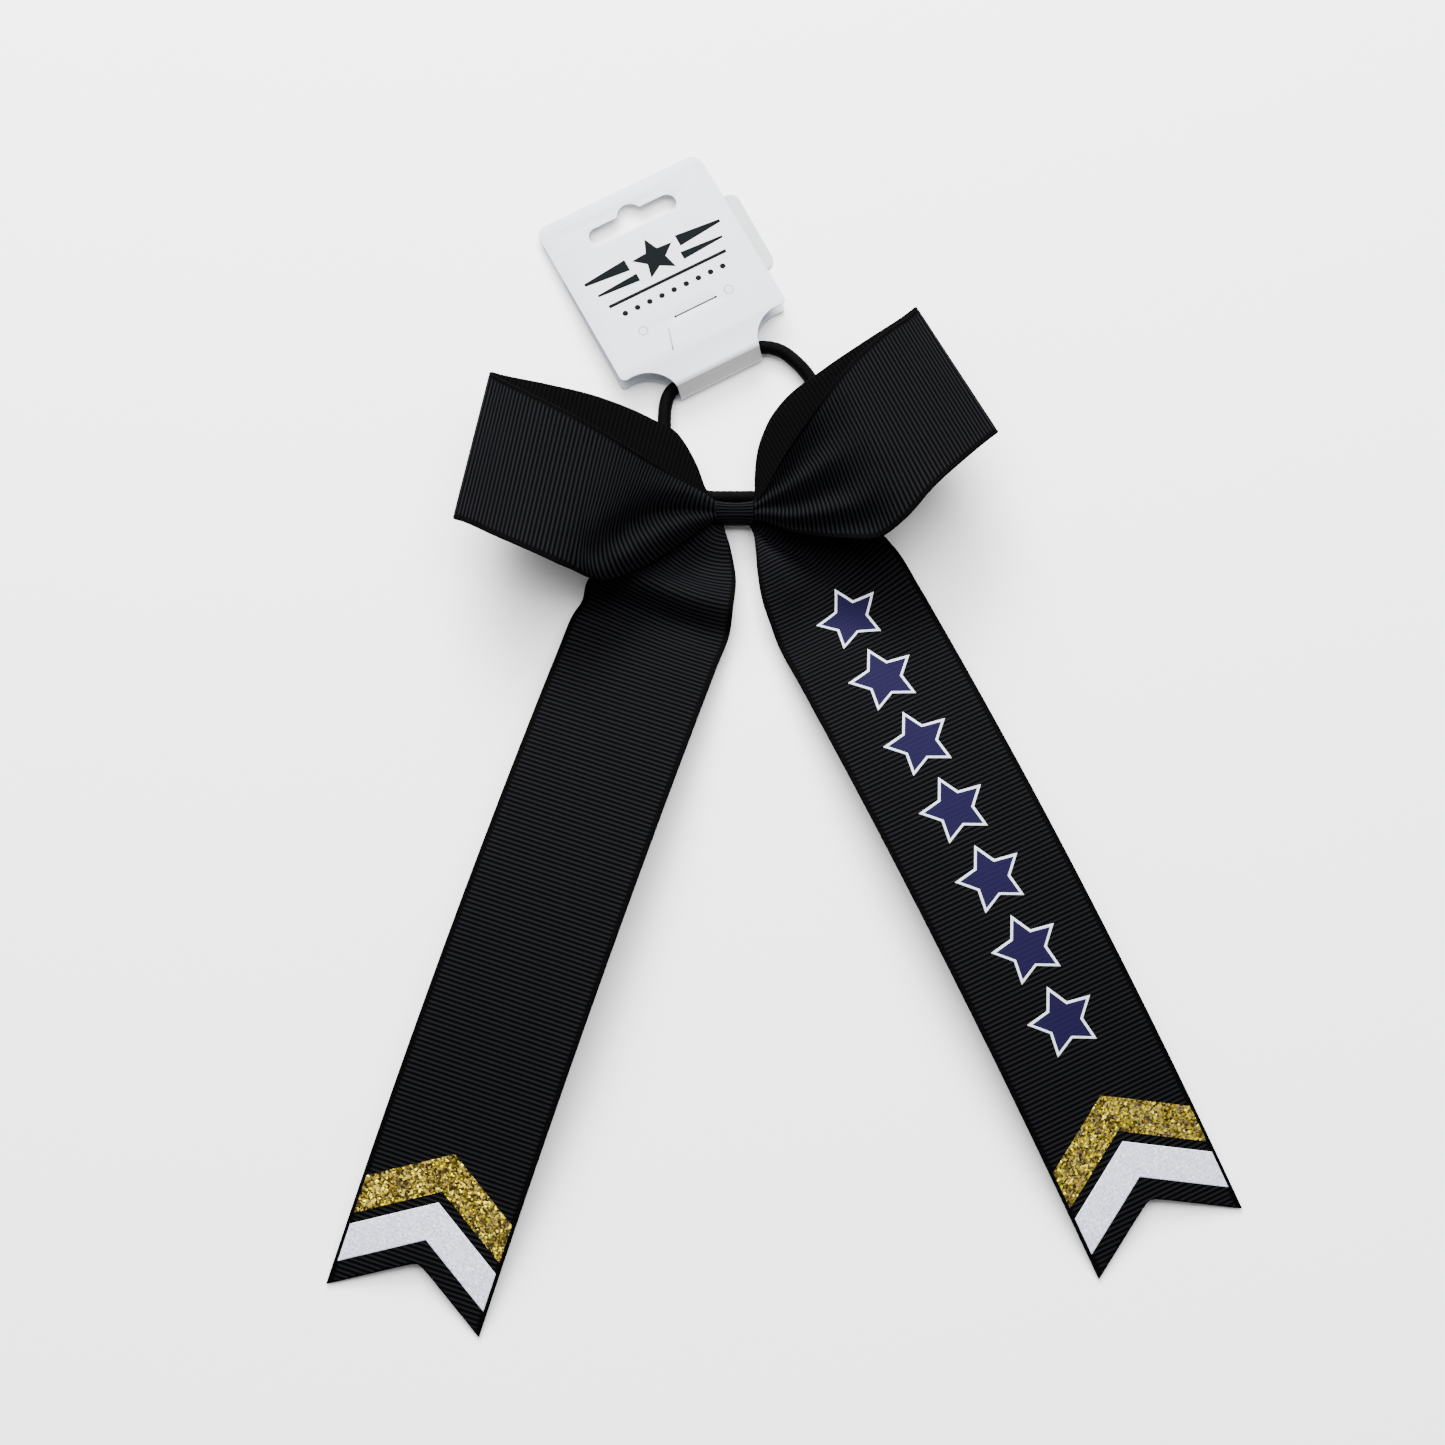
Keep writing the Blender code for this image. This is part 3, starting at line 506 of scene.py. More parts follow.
def plain_material(name, colour, rough, grain, strength=0.2, gleam=0.5):
    n = Nodes(name)
    where = n.add("ShaderNodeTexCoord").outputs["Object"]
    fine = n.noise(grain, 3.0, where)
    tint = n.mix(n.math("MULTIPLY", fine, 0.5), (*colour, 1), (*[c * 0.8 for c in colour], 1))
    return n.finish(
        Base_Color=tint, Roughness=n.spread(fine, rough - 0.08, rough + 0.08),
        Normal=n.bump(fine, strength, 0.1), Specular_IOR_Level=gleam
    )


RIBBON_CLOTH = ribbon_material()
CORD_CLOTH = cord_material()
BOARD = card_material("coated_board", (0.50, 0.515, 0.57), 0.5)
BOARD_EDGE = card_material("board_edge", (0.30, 0.30, 0.31), 0.8, 1.5)
# The folded strip's board is coloured darker than the panel: painted shade, where the strip slopes away from
# the lamps.
STRIP_PAINTED_SHADE = card_material("folded_strip_painted_shade", (0.30, 0.30, 0.30), 0.42)
LABEL = card_material("label_stock", (0.40, 0.42, 0.425), 0.42, 2.0)
PRINT = plain_material("printed_ink", (0.0022, 0.0034, 0.0038), 0.6, 900, 0.2, 0.02)
# Gold flakes: the top stops are painted glints and the bottom stops painted dark reflections; the middle
# stops are the flakes' own tints.
GOLD = glitter_material(
    "gold_glitter",
    [(0.0, (0.010, 0.006, 0.0001)), (0.3, (0.045, 0.029, 0.0003)), (0.6, (0.12, 0.082, 0.0006)),
     (0.82, (0.27, 0.20, 0.0012)), (0.94, (0.75, 0.60, 0.006)), (1.0, (1.0, 0.88, 0.09))],
    0.74, 0.6, 0.25, 0.7,
)
# White flakes: the top stop is a painted glint over the flakes' own tints.
SILVER = glitter_material(
    "white_glitter",
    [(0.0, (0.37, 0.39, 0.49)), (0.4, (0.49, 0.51, 0.62)), (0.9, (0.53, 0.55, 0.66)),
     (1.0, (0.9, 0.9, 0.95))],
    0.5, 0.0, 0.4, 0.3,
)
NAVY = vinyl_material("vinyl_navy", (0.0048, 0.0028, 0.022), 0.55, 0.03)
WHITE = vinyl_material("vinyl_white", (0.50, 0.55, 0.62), 0.5, 0.3)
TIE = plain_material("tie_nylon", (0.02, 0.02, 0.02), 0.4, 700)
GLUE = plain_material("black_glue", (0.006, 0.006, 0.006), 0.35, 220, 0.5, 0.2)


# ---------------------------------------------------------------- hair elastic

BRAID_STRANDS = 7  # in each of the two sets
BRAID_TWIST = 2.6  # radians of pattern for each millimetre along the cord
BRAID_HEIGHT = 0.09
GLUED_RUN = (-8.9, -3, 3, 8.9)

# The ring's route: seen from above on both sides of the knot, and along and away from the lower crease
ELASTIC_RIGHT = [(8.8, 6.7), (13.5, 7.1), (19.5, 10.2), (25.4, 15.8), (30.2, 23.2), (32.6, 31.6),
                 (32.8, 40.0), (31.2, 48.2), (27.8, 55.4), (22.8, 61.4)]
ELASTIC_LEFT = [(-26.5, 36.0), (-26.0, 28.0), (-23.6, 20.0), (-19.2, 12.8), (-13.6, 7.8), (-8.8, 6.7)]
IN_FOLD = [(24.6, -0.6), (21.4, 2.4), (17.4, 4.4), (9.4, 4.7), (0.0, 4.7),
           (-9.4, 4.7), (-17.0, 4.5), (-20.2, 3.4), (-22.7, 1.3), (-24.8, -1.4)]


def card_point(u, away, height):
    c, s = math.cos(CARD_ANGLE), math.sin(CARD_ANGLE)
    return np.array([CARD_ORIGIN[0] + c * u - s * away, CARD_ORIGIN[1] + s * u + c * away, height])


def braided_tube(name, path, radius, step=0.42, around=28):
    """A round braided cord along the path: two sets of strands crossing as they go round."""
    run = lengths(path)
    count = int(run[-1] / step)
    at = np.linspace(0, run[-1], count)
    line = spline(run, path, at)
    tangent = np.gradient(line, axis=0)
    tangent /= np.linalg.norm(tangent, axis=1, keepdims=True)
    side = np.cross(tangent, (0, 0, 1.0))
    side /= np.linalg.norm(side, axis=1, keepdims=True)
    up = np.cross(side, tangent)
    angle = np.linspace(0, 2 * math.pi, around, endpoint=False)
    s, a = np.meshgrid(at, angle, indexing="ij")
    turn, twist = BRAID_STRANDS * a, s * BRAID_TWIST
    strand = np.maximum(np.cos(turn + twist), np.cos(turn - twist))
    r = radius + BRAID_HEIGHT * strand
    ring = side[:, None, :] * np.cos(angle)[None, :, None] + up[:, None, :] * np.sin(angle)[None, :, None]
    verts = (line[:, None, :] + ring * r[..., None]).reshape(-1, 3)
    faces = []
    for i in range(count - 1):
        for j in range(around):
            k = (j + 1) % around
            faces.append([i * around + j, i * around + k, (i + 1) * around + k, (i + 1) * around + j])
    faces.append(list(range(around))[::-1])
    faces.append([(count - 1) * around + j for j in range(around)])
    obj = new_object(name, verts, faces, CORD_CLOTH)
    put_attribute(obj, "flat", "FLOAT_VECTOR", np.stack([a * radius, s, a * 0], axis=2).reshape(-1, 3))
    # The rib values set the painted highlight on the strand crests in the elastic's material.
    put_attribute(obj, "rib", "FLOAT", np.clip((strand + 0.4) / 1.4, 0, 1))
    return obj, line


def hair_elastic():
    fold = [card_point(u, away, CORD_HEIGHT) for u, away in IN_FOLD]
    right = [(x, y, CORD_HEIGHT) for x, y in ELASTIC_RIGHT]
    left = [(x, y, CORD_HEIGHT) for x, y in ELASTIC_LEFT]
    route = np.array([*right, *fold, *left], float)
    ring, line = braided_tube("elastic_ring", route, CORD_RADIUS)
    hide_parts("elastic_base_right", "elastic_strand_right", "elastic_bight",
                "elastic_strand_left", "elastic_base_left")
    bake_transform(ring)
    float(lengths(line)[-1] * MM)
    glued = np.array([(x, CORD_RUN_Y, CORD_HEIGHT) for x in GLUED_RUN], float)
    anchor, _ = braided_tube("elastic_glued_run", glued, CORD_RADIUS)
    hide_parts("elastic_anchor")
    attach(anchor, "knot")


hair_elastic()


# ---------------------------------------------------------------- ribbon shapes

LEFT_LOOP = [
    [(-5.0, 1.2, 8.8), (-5.0, -1.2, 9.4), (-5.0, -3.6, 8.4)],
    [(-8.2, 3.6, 8.9), (-8.2, -0.4, 9.4), (-8.2, -4.2, 8.6)],
    [(-10.8, 8.4, 9.2), (-11.6, 2.0, 9.5), (-12.4, -5.0, 8.9)],
    [(-14.0, 17.0, 10.0), (-17.0, 5.0, 10.4), (-20.0, -8.0, 10.0)],
    [(-20.6, 28.2, 12.0), (-25.0, 8.0, 12.2), (-29.6, -12.6, 12.0)],
    [(-31.0, 34.2, 14.0), (-43.0, -17.0, 14.6)],
    [(-50.0, 41.0, 18.4), (-62.0, -15.5, 18.4)],
    [(-70.0, 44.5, 23.2), (-82.0, -12.5, 23.2)],
    [(-86.6, 46.8, 26.7), (-99.0, -10.2, 26.7)],
    [(-90.3, 47.2, 28.3), (-102.7, -10.0, 28.3)],
    [(-90.3, 46.2, 30.0), (-102.7, -11.0, 30.0)],
    [(-87.0, 43.2, 32.6), (-99.2, -13.0, 32.6)],
    [(-76.0, 35.5, 38.2), (-87.0, -20.5, 38.4)],
    [(-60.0, 26.0, 41.0), (-71.5, -28.0, 40.0)],
    [(-49.0, 20.4, 38.4), (-54.5, -5.0, 39.0), (-60.4, -32.0, 36.0)],
    [(-41.5, 16.8, 35.2), (-46.6, -3.5, 36.2), (-50.6, -17.0, 34.8), (-51.6, -24.6, 31.2),
     (-50.6, -30.6, 30.4),
     (-47.6, -33.4, 24.6)],
    [(-35.5, 14.0, 31.6), (-40.2, -0.5, 33.0), (-43.6, -10.4, 31.8), (-44.4, -17.0, 27.2),
     (-41.8, -24.6, 27.0),
     (-36.2, -27.6, 18.2)],
    [(-29.5, 11.6, 27.2), (-33.6, 1.0, 29.0), (-36.6, -5.2, 27.8), (-37.0, -10.2, 23.2), (-33.4, -17.6, 23.6),
     (-26.4, -20.4, 14.2)],
    [(-23.5, 9.4, 22.6), (-26.6, 2.4, 24.8), (-28.8, -1.4, 23.6), (-29.0, -5.0, 19.4), (-25.0, -11.4, 19.8),
     (-18.4, -13.6, 11.8)],
    [(-17.6, 7.2, 18.4), (-19.4, 2.6, 20.4), (-20.6, 0.2, 19.4), (-20.6, -2.9, 15.9), (-17.4, -7.0, 16.4),
     (-12.8, -9.0, 10.6)],
    [(-12.4, 5.2, 14.8), (-13.0, 2.2, 16.2), (-13.4, 0.4, 15.6), (-13.4, -2.1, 13.2), (-11.8, -4.6, 13.4),
     (-9.4, -6.2, 9.9)],
    [(-8.4, 3.0, 12.8), (-8.6, 1.2, 13.6), (-8.7, -0.2, 13.2), (-8.7, -2.0, 12.0), (-8.2, -3.8, 11.6),
     (-7.6, -4.9, 9.7)],
    [(-5.0, 1.2, 11.4), (-5.0, 0.0, 12.2), (-5.0, -1.2, 12.4), (-5.0, -2.2, 11.9), (-5.0, -3.2, 11.0),
     (-5.0, -4.0, 9.6)],
]
RIGHT_LOOP = [
    [(5.0, 1.2, 8.8), (5.0, -1.2, 9.4), (5.0, -3.6, 8.4)],
    [(7.2, 5.2, 9.0), (8.0, 0.4, 9.5), (8.8, -4.4, 8.6)],
    [(7.3, 12.0, 9.6), (10.0, 3.6, 10.0), (13.4, -5.8, 9.2)],
    [(8.0, 20.6, 10.3), (13.4, 7.0, 10.8), (19.6, -7.6, 10.6)],
    [(11.4, 31.4, 12.2), (20.8, 11.4, 12.4), (31.0, -9.6, 12.6)],
    [(18.0, 41.0, 14.8), (46.0, -8.5, 14.8)],
    [(33.0, 52.0, 19.2), (61.5, 2.5, 19.2)],
    [(50.0, 62.5, 23.8), (79.0, 13.0, 23.8)],
    [(63.8, 71.0, 26.7), (93.1, 21.3, 26.7)],
    [(67.0, 73.0, 28.3), (96.4, 23.3, 28.3)],
    [(67.2, 72.2, 30.0), (96.6, 22.6, 30.0)],
    [(65.2, 68.8, 32.4), (93.8, 19.6, 32.4)],
    [(56.0, 60.0, 37.6), (84.0, 9.5, 38.0)],
    [(45.5, 49.4, 40.0), (72.0, -2.6, 40.8)],
    [(38.0, 41.0, 38.6), (49.0, 14.0, 40.2), (61.0, -14.5, 38.2)],
    [(31.5, 33.2, 35.4), (36.0, 22.5, 34.0), (40.0, 13.0, 37.0), (44.0, 3.0, 34.8), (47.0, -5.0, 35.6),
     (50.0, -12.0, 31.6), (52.0, -19.0, 32.2)],
    [(26.0, 26.2, 31.2), (29.0, 17.5, 26.4), (32.5, 9.6, 32.4), (35.8, 0.5, 27.2), (38.4, -7.0, 31.4),
     (39.6, -12.6, 26.6), (40.6, -17.6, 27.2)],
    [(20.8, 19.6, 26.6), (22.8, 12.4, 20.8), (25.0, 5.8, 27.2), (27.0, -1.0, 21.6), (28.4, -7.4, 25.6),
     (28.8, -11.4, 20.8), (29.4, -14.4, 20.6)],
    [(16.0, 13.4, 20.6), (17.2, 8.2, 16.2), (18.4, 3.6, 21.0), (19.2, -1.6, 16.8), (19.6, -6.2, 19.6),
     (19.6, -9.0, 16.0), (19.8, -10.8, 15.6)],
    [(12.4, 8.0, 16.0), (12.8, 5.2, 13.8), (13.2, 2.4, 16.4), (13.4, -0.8, 13.8), (13.4, -3.8, 15.2),
     (13.2, -5.6, 12.9), (13.2, -6.8, 12.0)],
    [(9.0, 3.8, 13.2), (9.0, 2.4, 12.2), (9.0, 0.8, 13.6), (9.0, -1.0, 12.4), (9.0, -2.8, 12.8),
     (9.0, -4.0, 11.4), (9.0, -4.9, 10.4)],
    [(5.0, 1.2, 11.4), (5.0, 0.2, 12.0), (5.0, -1.2, 12.4), (5.0, -2.2, 11.9), (5.0, -3.2, 11.2),
     (5.0, -4.0, 9.6)],
]
LEFT_ROOT = [
    [(-5.0, 0.2, 5.6), (-5.0, -1.6, 6.4), (-4.6, -3.6, 6.0)],
    [(-9.4, -1.6, 5.4), (-7.6, -3.8, 7.4), (-5.6, -5.6, 7.2), (-3.9, -6.8, 7.0)],
    [(-19.0, -5.2, 6.0), (-13.6, -7.6, 8.6), (-8.0, -10.2, 7.2), (-2.2, -12.4, 7.8)],
    [(-33.0, -11.0, 6.2), (-24.0, -13.8, 8.2), (-12.4, -18.4, 5.4), (-0.4, -20.4, 6.6)],
    [(-46.0, -18.6, 7.8), (-33.0, -21.6, 9.8), (-16.0, -25.0, 7.0), (0.4, -28.0, 8.0)],
    [(-54.0, -27.4, 10.4), (-37.0, -29.0, 12.4), (-18.0, -34.4, 11.6), (-0.6, -38.4, 10.6)],
    [(-56.6, -34.4, 5.6), (-39.2, -37.2, 4.7), (-21.0, -43.0, 4.5), (-2.2, -48.2, 5.2)],
]
RIGHT_ROOT = [
    [(5.0, 0.2, 5.6), (5.0, -1.6, 6.0), (4.6, -3.6, 5.6)],
    [(9.6, -1.0, 5.0), (8.4, -3.4, 7.2), (7.4, -5.2, 5.6), (6.4, -7.4, 7.0)],
    [(22.0, -2.8, 5.6), (17.6, -6.4, 7.8), (13.6, -11.0, 4.8), (10.0, -13.6, 8.8), (7.6, -15.4, 8.4)],
    [(37.0, -3.6, 6.4), (30.0, -8.8, 8.6), (23.6, -16.2, 4.8), (15.6, -21.4, 10.6), (8.2, -24.4, 9.6)],
    [(50.0, -5.4, 7.2), (41.6, -12.8, 9.2), (33.0, -22.6, 5.2), (21.4, -29.6, 9.6), (9.8, -34.6, 9.0)],
    [(59.5, -14.6, 7.4), (46.0, -23.6, 7.6), (30.0, -35.0, 6.8), (13.2, -45.0, 7.6)],
]
LEFT_TAIL = {"side": -1, "fold": (-37.3, -62.0), "lean": -18.9, "length": 245.3, "flat": (-12.0,)}
RIGHT_TAIL = {"side": 1, "fold": (48.3, -53.8), "lean": 25.8, "length": 241.0, "flat": (-14.0,)}
TAIL_STEPS = 14
LOOP_STRAIGHT = (5, 13)  # the sections between which a loop's ribs lie straight across it
FOLD_REACH = 9  # how far either side of a tail's fold line the fold points lie


def tail_point(tail, along, across):
    lean = math.radians(tail["lean"])
    share = along / tail["length"]
    height = FOLD_HEIGHT * (1 - share) ** 2 + 4 * TAIL_CROWN * share * (1 - share)
    outward = tail["side"] * across
    x = tail["fold"][0] + math.sin(lean) * along + math.cos(lean) * outward
    y = tail["fold"][1] - math.cos(lean) * along + math.sin(lean) * outward
    return (x, y, TIP_HEIGHT + height)


def loop(name, sections, straight, side):
    ribbon = Ribbon(sections, straight, face_up=side, guided=0.8)
    obj = weave(name, ribbon, 0.0, ribbon.length, RIBBON_CLOTH)
    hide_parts(name)
    obj.name = name + "_ribbon"
    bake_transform(obj)


def tail_ribbon(tail, root):
    places = [*tail["flat"], *np.linspace(0, tail["length"], TAIL_STEPS)]
    edges = [[tail_point(tail, a, w) for w in (HALF, -HALF)] for a in places]
    straight = len(root) + len(tail["flat"])
    ribbon = Ribbon(root + edges, [straight], face_up=tail["side"], middle_step=TAIL_COLUMN_STEP)
    return ribbon, straight_run(ribbon, straight, root + edges)


def straight_run(ribbon, index, sections):
    """How far along the ribbon that section lies."""
    middle = np.array([evenly(s, [0.5])[0] for s in sections])
    line = ribbon.fine[:, len(ribbon.columns) // 2]
    nearest = np.argmin(np.linalg.norm(line - middle[index], axis=1))
    return ribbon.run[nearest, len(ribbon.columns) // 2]


def fold_blend(obj, side, data):
    """Set the piece's transform into its mesh; the points either side of the tail's fold are found but
    nothing is bent.
    """
    near = Vector(tail_point(data, -FOLD_REACH, 0)) * MM
    far = Vector(tail_point(data, FOLD_REACH, 0)) * MM
    near.z = far.z
    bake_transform(obj)


def tail(side, data, root):
    ribbon, fold = tail_ribbon(data, root)
    scale = (ribbon.length - fold) / data["length"]

    def cut(t):
        return fold + (data["length"] - NOTCH_DEPTH * (1 - math.hypot(t, NOTCH_ROUNDING) / HALF)) * scale

    obj = weave(f"tail_{side}_ribbon", ribbon, 0.0, ribbon.length, RIBBON_CLOTH, cut)
    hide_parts(f"tail_{side}", f"tail_{side}_root")
    fold_blend(obj, side, data)
    return ribbon, fold, scale


loop("loop_left", LEFT_LOOP, LOOP_STRAIGHT, 1)
loop("loop_right", RIGHT_LOOP, LOOP_STRAIGHT, -1)
TAILS = {"left": tail("left", LEFT_TAIL, LEFT_ROOT), "right": tail("right", RIGHT_TAIL, RIGHT_ROOT)}


# ---------------------------------------------------------------- knot

def knot_core():
    bpy.ops.mesh.primitive_uv_sphere_add(segments=32, ring_count=20, radius=1)
    core = bpy.context.object
    core.name = core.data.name = "knot_core"
    core.data.transform(Matrix.Diagonal((*[r * MM for r in CORE_RADII], 1)))
    core.data.transform(Matrix.Translation((0, KNOT_Y * MM, KNOT_HEIGHT * MM)))
    core.data.shade_smooth()
    core.data.materials.append(RIBBON_CLOTH)
    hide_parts("knot_pleats")
    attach(core, "knot")


def centre_wrap():
    """A pleated strip round the knot, drawn in at its middle, its ribs running along X."""
    rows, columns = WRAP_ROWS, WRAP_COLUMNS
    x = np.linspace(-WRAP_HALF, WRAP_HALF, rows)
    a = np.linspace(0, 2 * math.pi, columns, endpoint=False)
    xx, aa = np.meshgrid(x, a, indexing="ij")
    depth, width = WRAP_PINCH
    waist = 1 - depth * np.exp(-((xx / width) ** 2)) + WRAP_FLARE * (abs(xx) / WRAP_HALF) ** 4
    phase = (aa / (2 * math.pi) * WRAP_RIBS) % 1
    rib = np.sin(phase * math.pi) ** 0.7
    fold = PLEAT_HEIGHT * np.cos(PLEATS * aa + PLEAT_TURN) * np.exp(-((xx / PLEAT_REACH) ** 2))
    radius = WRAP_RIB_HEIGHT * rib + fold
    verts = []
    for radii, lift in ((WRAP_OUTER_RADII, radius), (WRAP_INNER_RADII, 0 * radius)):
        ry = radii[0] * waist + lift
        rz = radii[1] * waist + lift
        place = [xx, KNOT_Y + ry * np.cos(aa), KNOT_HEIGHT + rz * np.sin(aa)]
        verts.append(np.stack(place, axis=2).reshape(-1, 3))
    count = rows * columns
    faces = []
    for i in range(rows - 1):
        for j in range(columns):
            k = (j + 1) % columns
            quad = [i * columns + j, (i + 1) * columns + j, (i + 1) * columns + k, i * columns + k]
            faces.append(quad)
            faces.append([count + v for v in reversed(quad)])
    for i, flip in ((0, False), (rows - 1, True)):
        for j in range(columns):
            k = (j + 1) % columns
            quad = [i * columns + j, i * columns + k, count + i * columns + k, count + i * columns + j]
            faces.append(quad[::-1] if flip else quad)
    wrap = new_object("center_wrap_ribbon", np.concatenate(verts), faces, RIBBON_CLOTH)
    around = (aa / (2 * math.pi) * WRAP_RIBS * RIB_PITCH).ravel()
    flat = np.stack([xx.ravel(), around, 0 * around], axis=1)
    put_attribute(wrap, "flat", "FLOAT_VECTOR", np.concatenate([flat, flat]))
    # The rib values set the painted crest highlight; the inner face gets half of them, so it is painted
    # darker.
    put_attribute(wrap, "rib", "FLOAT", np.concatenate([rib.ravel(), 0.5 * rib.ravel()]))
    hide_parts("center_wrap")
    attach(wrap, "knot")


def glue_bead():
    low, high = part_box("glue_pad")
    bm = bmesh.new()
    bmesh.ops.create_cube(bm, size=1)
    bm.transform(Matrix.Diagonal((*(high - low), 1)))
    bm.transform(Matrix.Translation((low + high) / 2))
    upright = [e for e in bm.edges if abs((e.verts[0].co - e.verts[1].co).z) > 1e-4]
    bmesh.ops.bevel(bm, geom=upright, offset=GLUE_CORNER * MM, segments=6, affect="EDGES", profile=0.5)
    rim = [e for e in bm.edges if min(v.co.z for v in e.verts) > high.z - 1e-5]
    bmesh.ops.bevel(bm, geom=rim, offset=GLUE_RIM * MM, segments=4, affect="EDGES", profile=0.5)
    mesh = bpy.data.meshes.new("glue_bead")
    bm.to_mesh(mesh)
    bm.free()
    mesh.shade_smooth()
    mesh.set_sharp_from_angle(angle=math.radians(50))
    mesh.materials.append(GLUE)
    bead = bpy.data.objects.new("glue_bead", mesh)
    bpy.context.scene.collection.objects.link(bead)
    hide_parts("glue_pad")
    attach(bead, "knot")


def refinish(node, mat):
    """Give a CAD node that keeps its shape a better material."""
    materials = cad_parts[node].data.materials
    materials.clear()
    materials.append(mat)


knot_core()
centre_wrap()
glue_bead()
refinish("cable_tie", TIE)


# ---------------------------------------------------------------- vinyl

CHEVRON_MARGIN = 1.4
CHEVRON_BAND = 13.6
GOLD_APEX = 39.3  # above the swallowtail's apex
WHITE_APEX = 21.7
STAR_COUNT = 7
BLENDED_STARS = 2  # the first stars lie where the tail folds
STAR_PITCH = 28.2
FIRST_STAR = -14.1
STAR_RADIUS = 13.2
STAR_INNER_SHARE = 0.52
STAR_OUTLINE = 1.9
ON_RIBS = BODY_THICKNESS / 2 + RIB_HEIGHT


def film(name, side, along, across, faces, mat, lift, ribbed, rough=0.0, seed=1, smooth=True):
    """A thin film pressed on the tail; the ribs beneath show through it a little."""
    ribbon, fold, scale = TAILS[side]
    s = fold + along * scale
    find = ribbon.lookup(max(s.min() - 2, 0), min(s.max() + 2, ribbon.length))
    phase = (s / RIB_PITCH) % 1
    top = lift + ribbed * RIB_HEIGHT * (np.sin(phase * math.pi) ** 0.8 - 1)
    if rough:
        top = top + np.random.default_rng(seed).uniform(-rough, rough, len(s))
    upper, _ = find(s, across, top)
    lower, _ = find(s, across, np.full(len(s), BODY_THICKNESS / 2))
    count = len(s)
    edges = {}
    for face in faces:
        for a, b in zip(face, face[1:] + face[:1]):
            edges[(a, b)] = True
    rim = [(a, b) for a, b in edges if (b, a) not in edges]
    solid = [list(f) for f in faces] + [[count + v for v in reversed(f)] for f in faces]
    solid += [[b, a, count + a, count + b] for a, b in rim]
    obj = new_object(name, np.concatenate([upper, lower]), solid, mat, smooth)
    turn_outwards(obj)
    flat = np.stack([across, s, 0 * s], axis=1)
    put_attribute(obj, "flat", "FLOAT_VECTOR", np.concatenate([flat, flat]))
    return obj


def chevron(side, colour, apex, grain, mat, lift, ribbed, rough, smooth):
    data = LEFT_TAIL if side == "left" else RIGHT_TAIL
    reach = HALF - CHEVRON_MARGIN
    half_columns = math.ceil(reach / grain)
    across = np.linspace(-reach, reach, 2 * half_columns + 1)
    rows = math.ceil(CHEVRON_BAND / grain) + 1
    v, t = np.meshgrid(np.linspace(0, CHEVRON_BAND, rows), across, indexing="ij")
    top = data["length"] - NOTCH_DEPTH - apex
    along = top + NOTCH_DEPTH * abs(t) / HALF + v
    generator = np.random.default_rng(7 if side == "left" else 8)
    inside = np.zeros(t.shape)
    inside[1:-1, 1:-1] = 1
    t = t + inside * generator.uniform(-0.3, 0.3, t.shape) * grain
    along = along + inside * generator.uniform(-0.3, 0.3, t.shape) * grain
    faces = []
    for i in range(rows - 1):
        for j in range(len(across) - 1):
            a, b = i * len(across) + j, i * len(across) + j + 1
            c, d = b + len(across), a + len(across)
            faces += [[a, b, c], [a, c, d]] if (i + j) % 2 else [[a, b, d], [b, c, d]]
    name = f"chevron_{colour}_{side}"
    obj = film(name + "_film", side, along.ravel(), t.ravel(), faces, mat, lift, ribbed, rough,
               seed=len(name), smooth=smooth)
    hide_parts(name)
    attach(obj, f"tail_{side}")


def star_corners(radius, inner_share, start):
    """Corners of a five-pointed star round the origin, its first point at the angle start."""
    corners = []
    for i in range(10):
        reach = radius * (inner_share if i % 2 else 1)
        turn = start + math.pi * i / 5
        corners.append((reach * math.cos(turn), reach * math.sin(turn)))
    return corners


def star_film(number, colour, radius, mat, lift, ribbed):
    centre = FIRST_STAR + (number - 1) * STAR_PITCH
    corners = np.array(star_corners(radius, STAR_INNER_SHARE, math.pi))
    per_side, rings = 8, 26
    outline = np.concatenate([
        a + (b - a) * np.linspace(0, 1, per_side, endpoint=False)[:, None]
        for a, b in zip(corners, np.roll(corners, -1, axis=0))
    ])
    count = len(outline)
    points = [np.zeros((1, 2))] + [outline * k / rings for k in range(1, rings + 1)]
    points = np.concatenate(points)
    faces = [[0, 1 + j, 1 + (j + 1) % count] for j in range(count)]
    for k in range(1, rings):
        a, b = 1 + (k - 1) * count, 1 + k * count
        faces += [[a + j, b + j, b + (j + 1) % count, a + (j + 1) % count] for j in range(count)]
    name = f"star_{colour}_{number}"
    obj = film(name + "_film", "right", centre + points[:, 0], points[:, 1], faces, mat, lift, ribbed)
    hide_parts(name)
    if number <= BLENDED_STARS:
        fold_blend(obj, "right", RIGHT_TAIL)
    else:
        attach(obj, "tail_right")


def vinyl():
    for side in ("left", "right"):
        chevron(side, "gold", GOLD_APEX, 0.45, GOLD, ON_RIBS + 0.22, 0.1, 0.07, False)
        chevron(side, "white", WHITE_APEX, 0.42, SILVER, ON_RIBS + 0.14, 0.3, 0.012, True)
    for number in range(1, STAR_COUNT + 1):
        star_film(number, "white", STAR_RADIUS, WHITE, ON_RIBS + 0.08, 0.35)
        star_film(number, "navy", STAR_RADIUS - STAR_OUTLINE, NAVY, ON_RIBS + 0.17, 0.4)


vinyl()


# ---------------------------------------------------------------- hang card

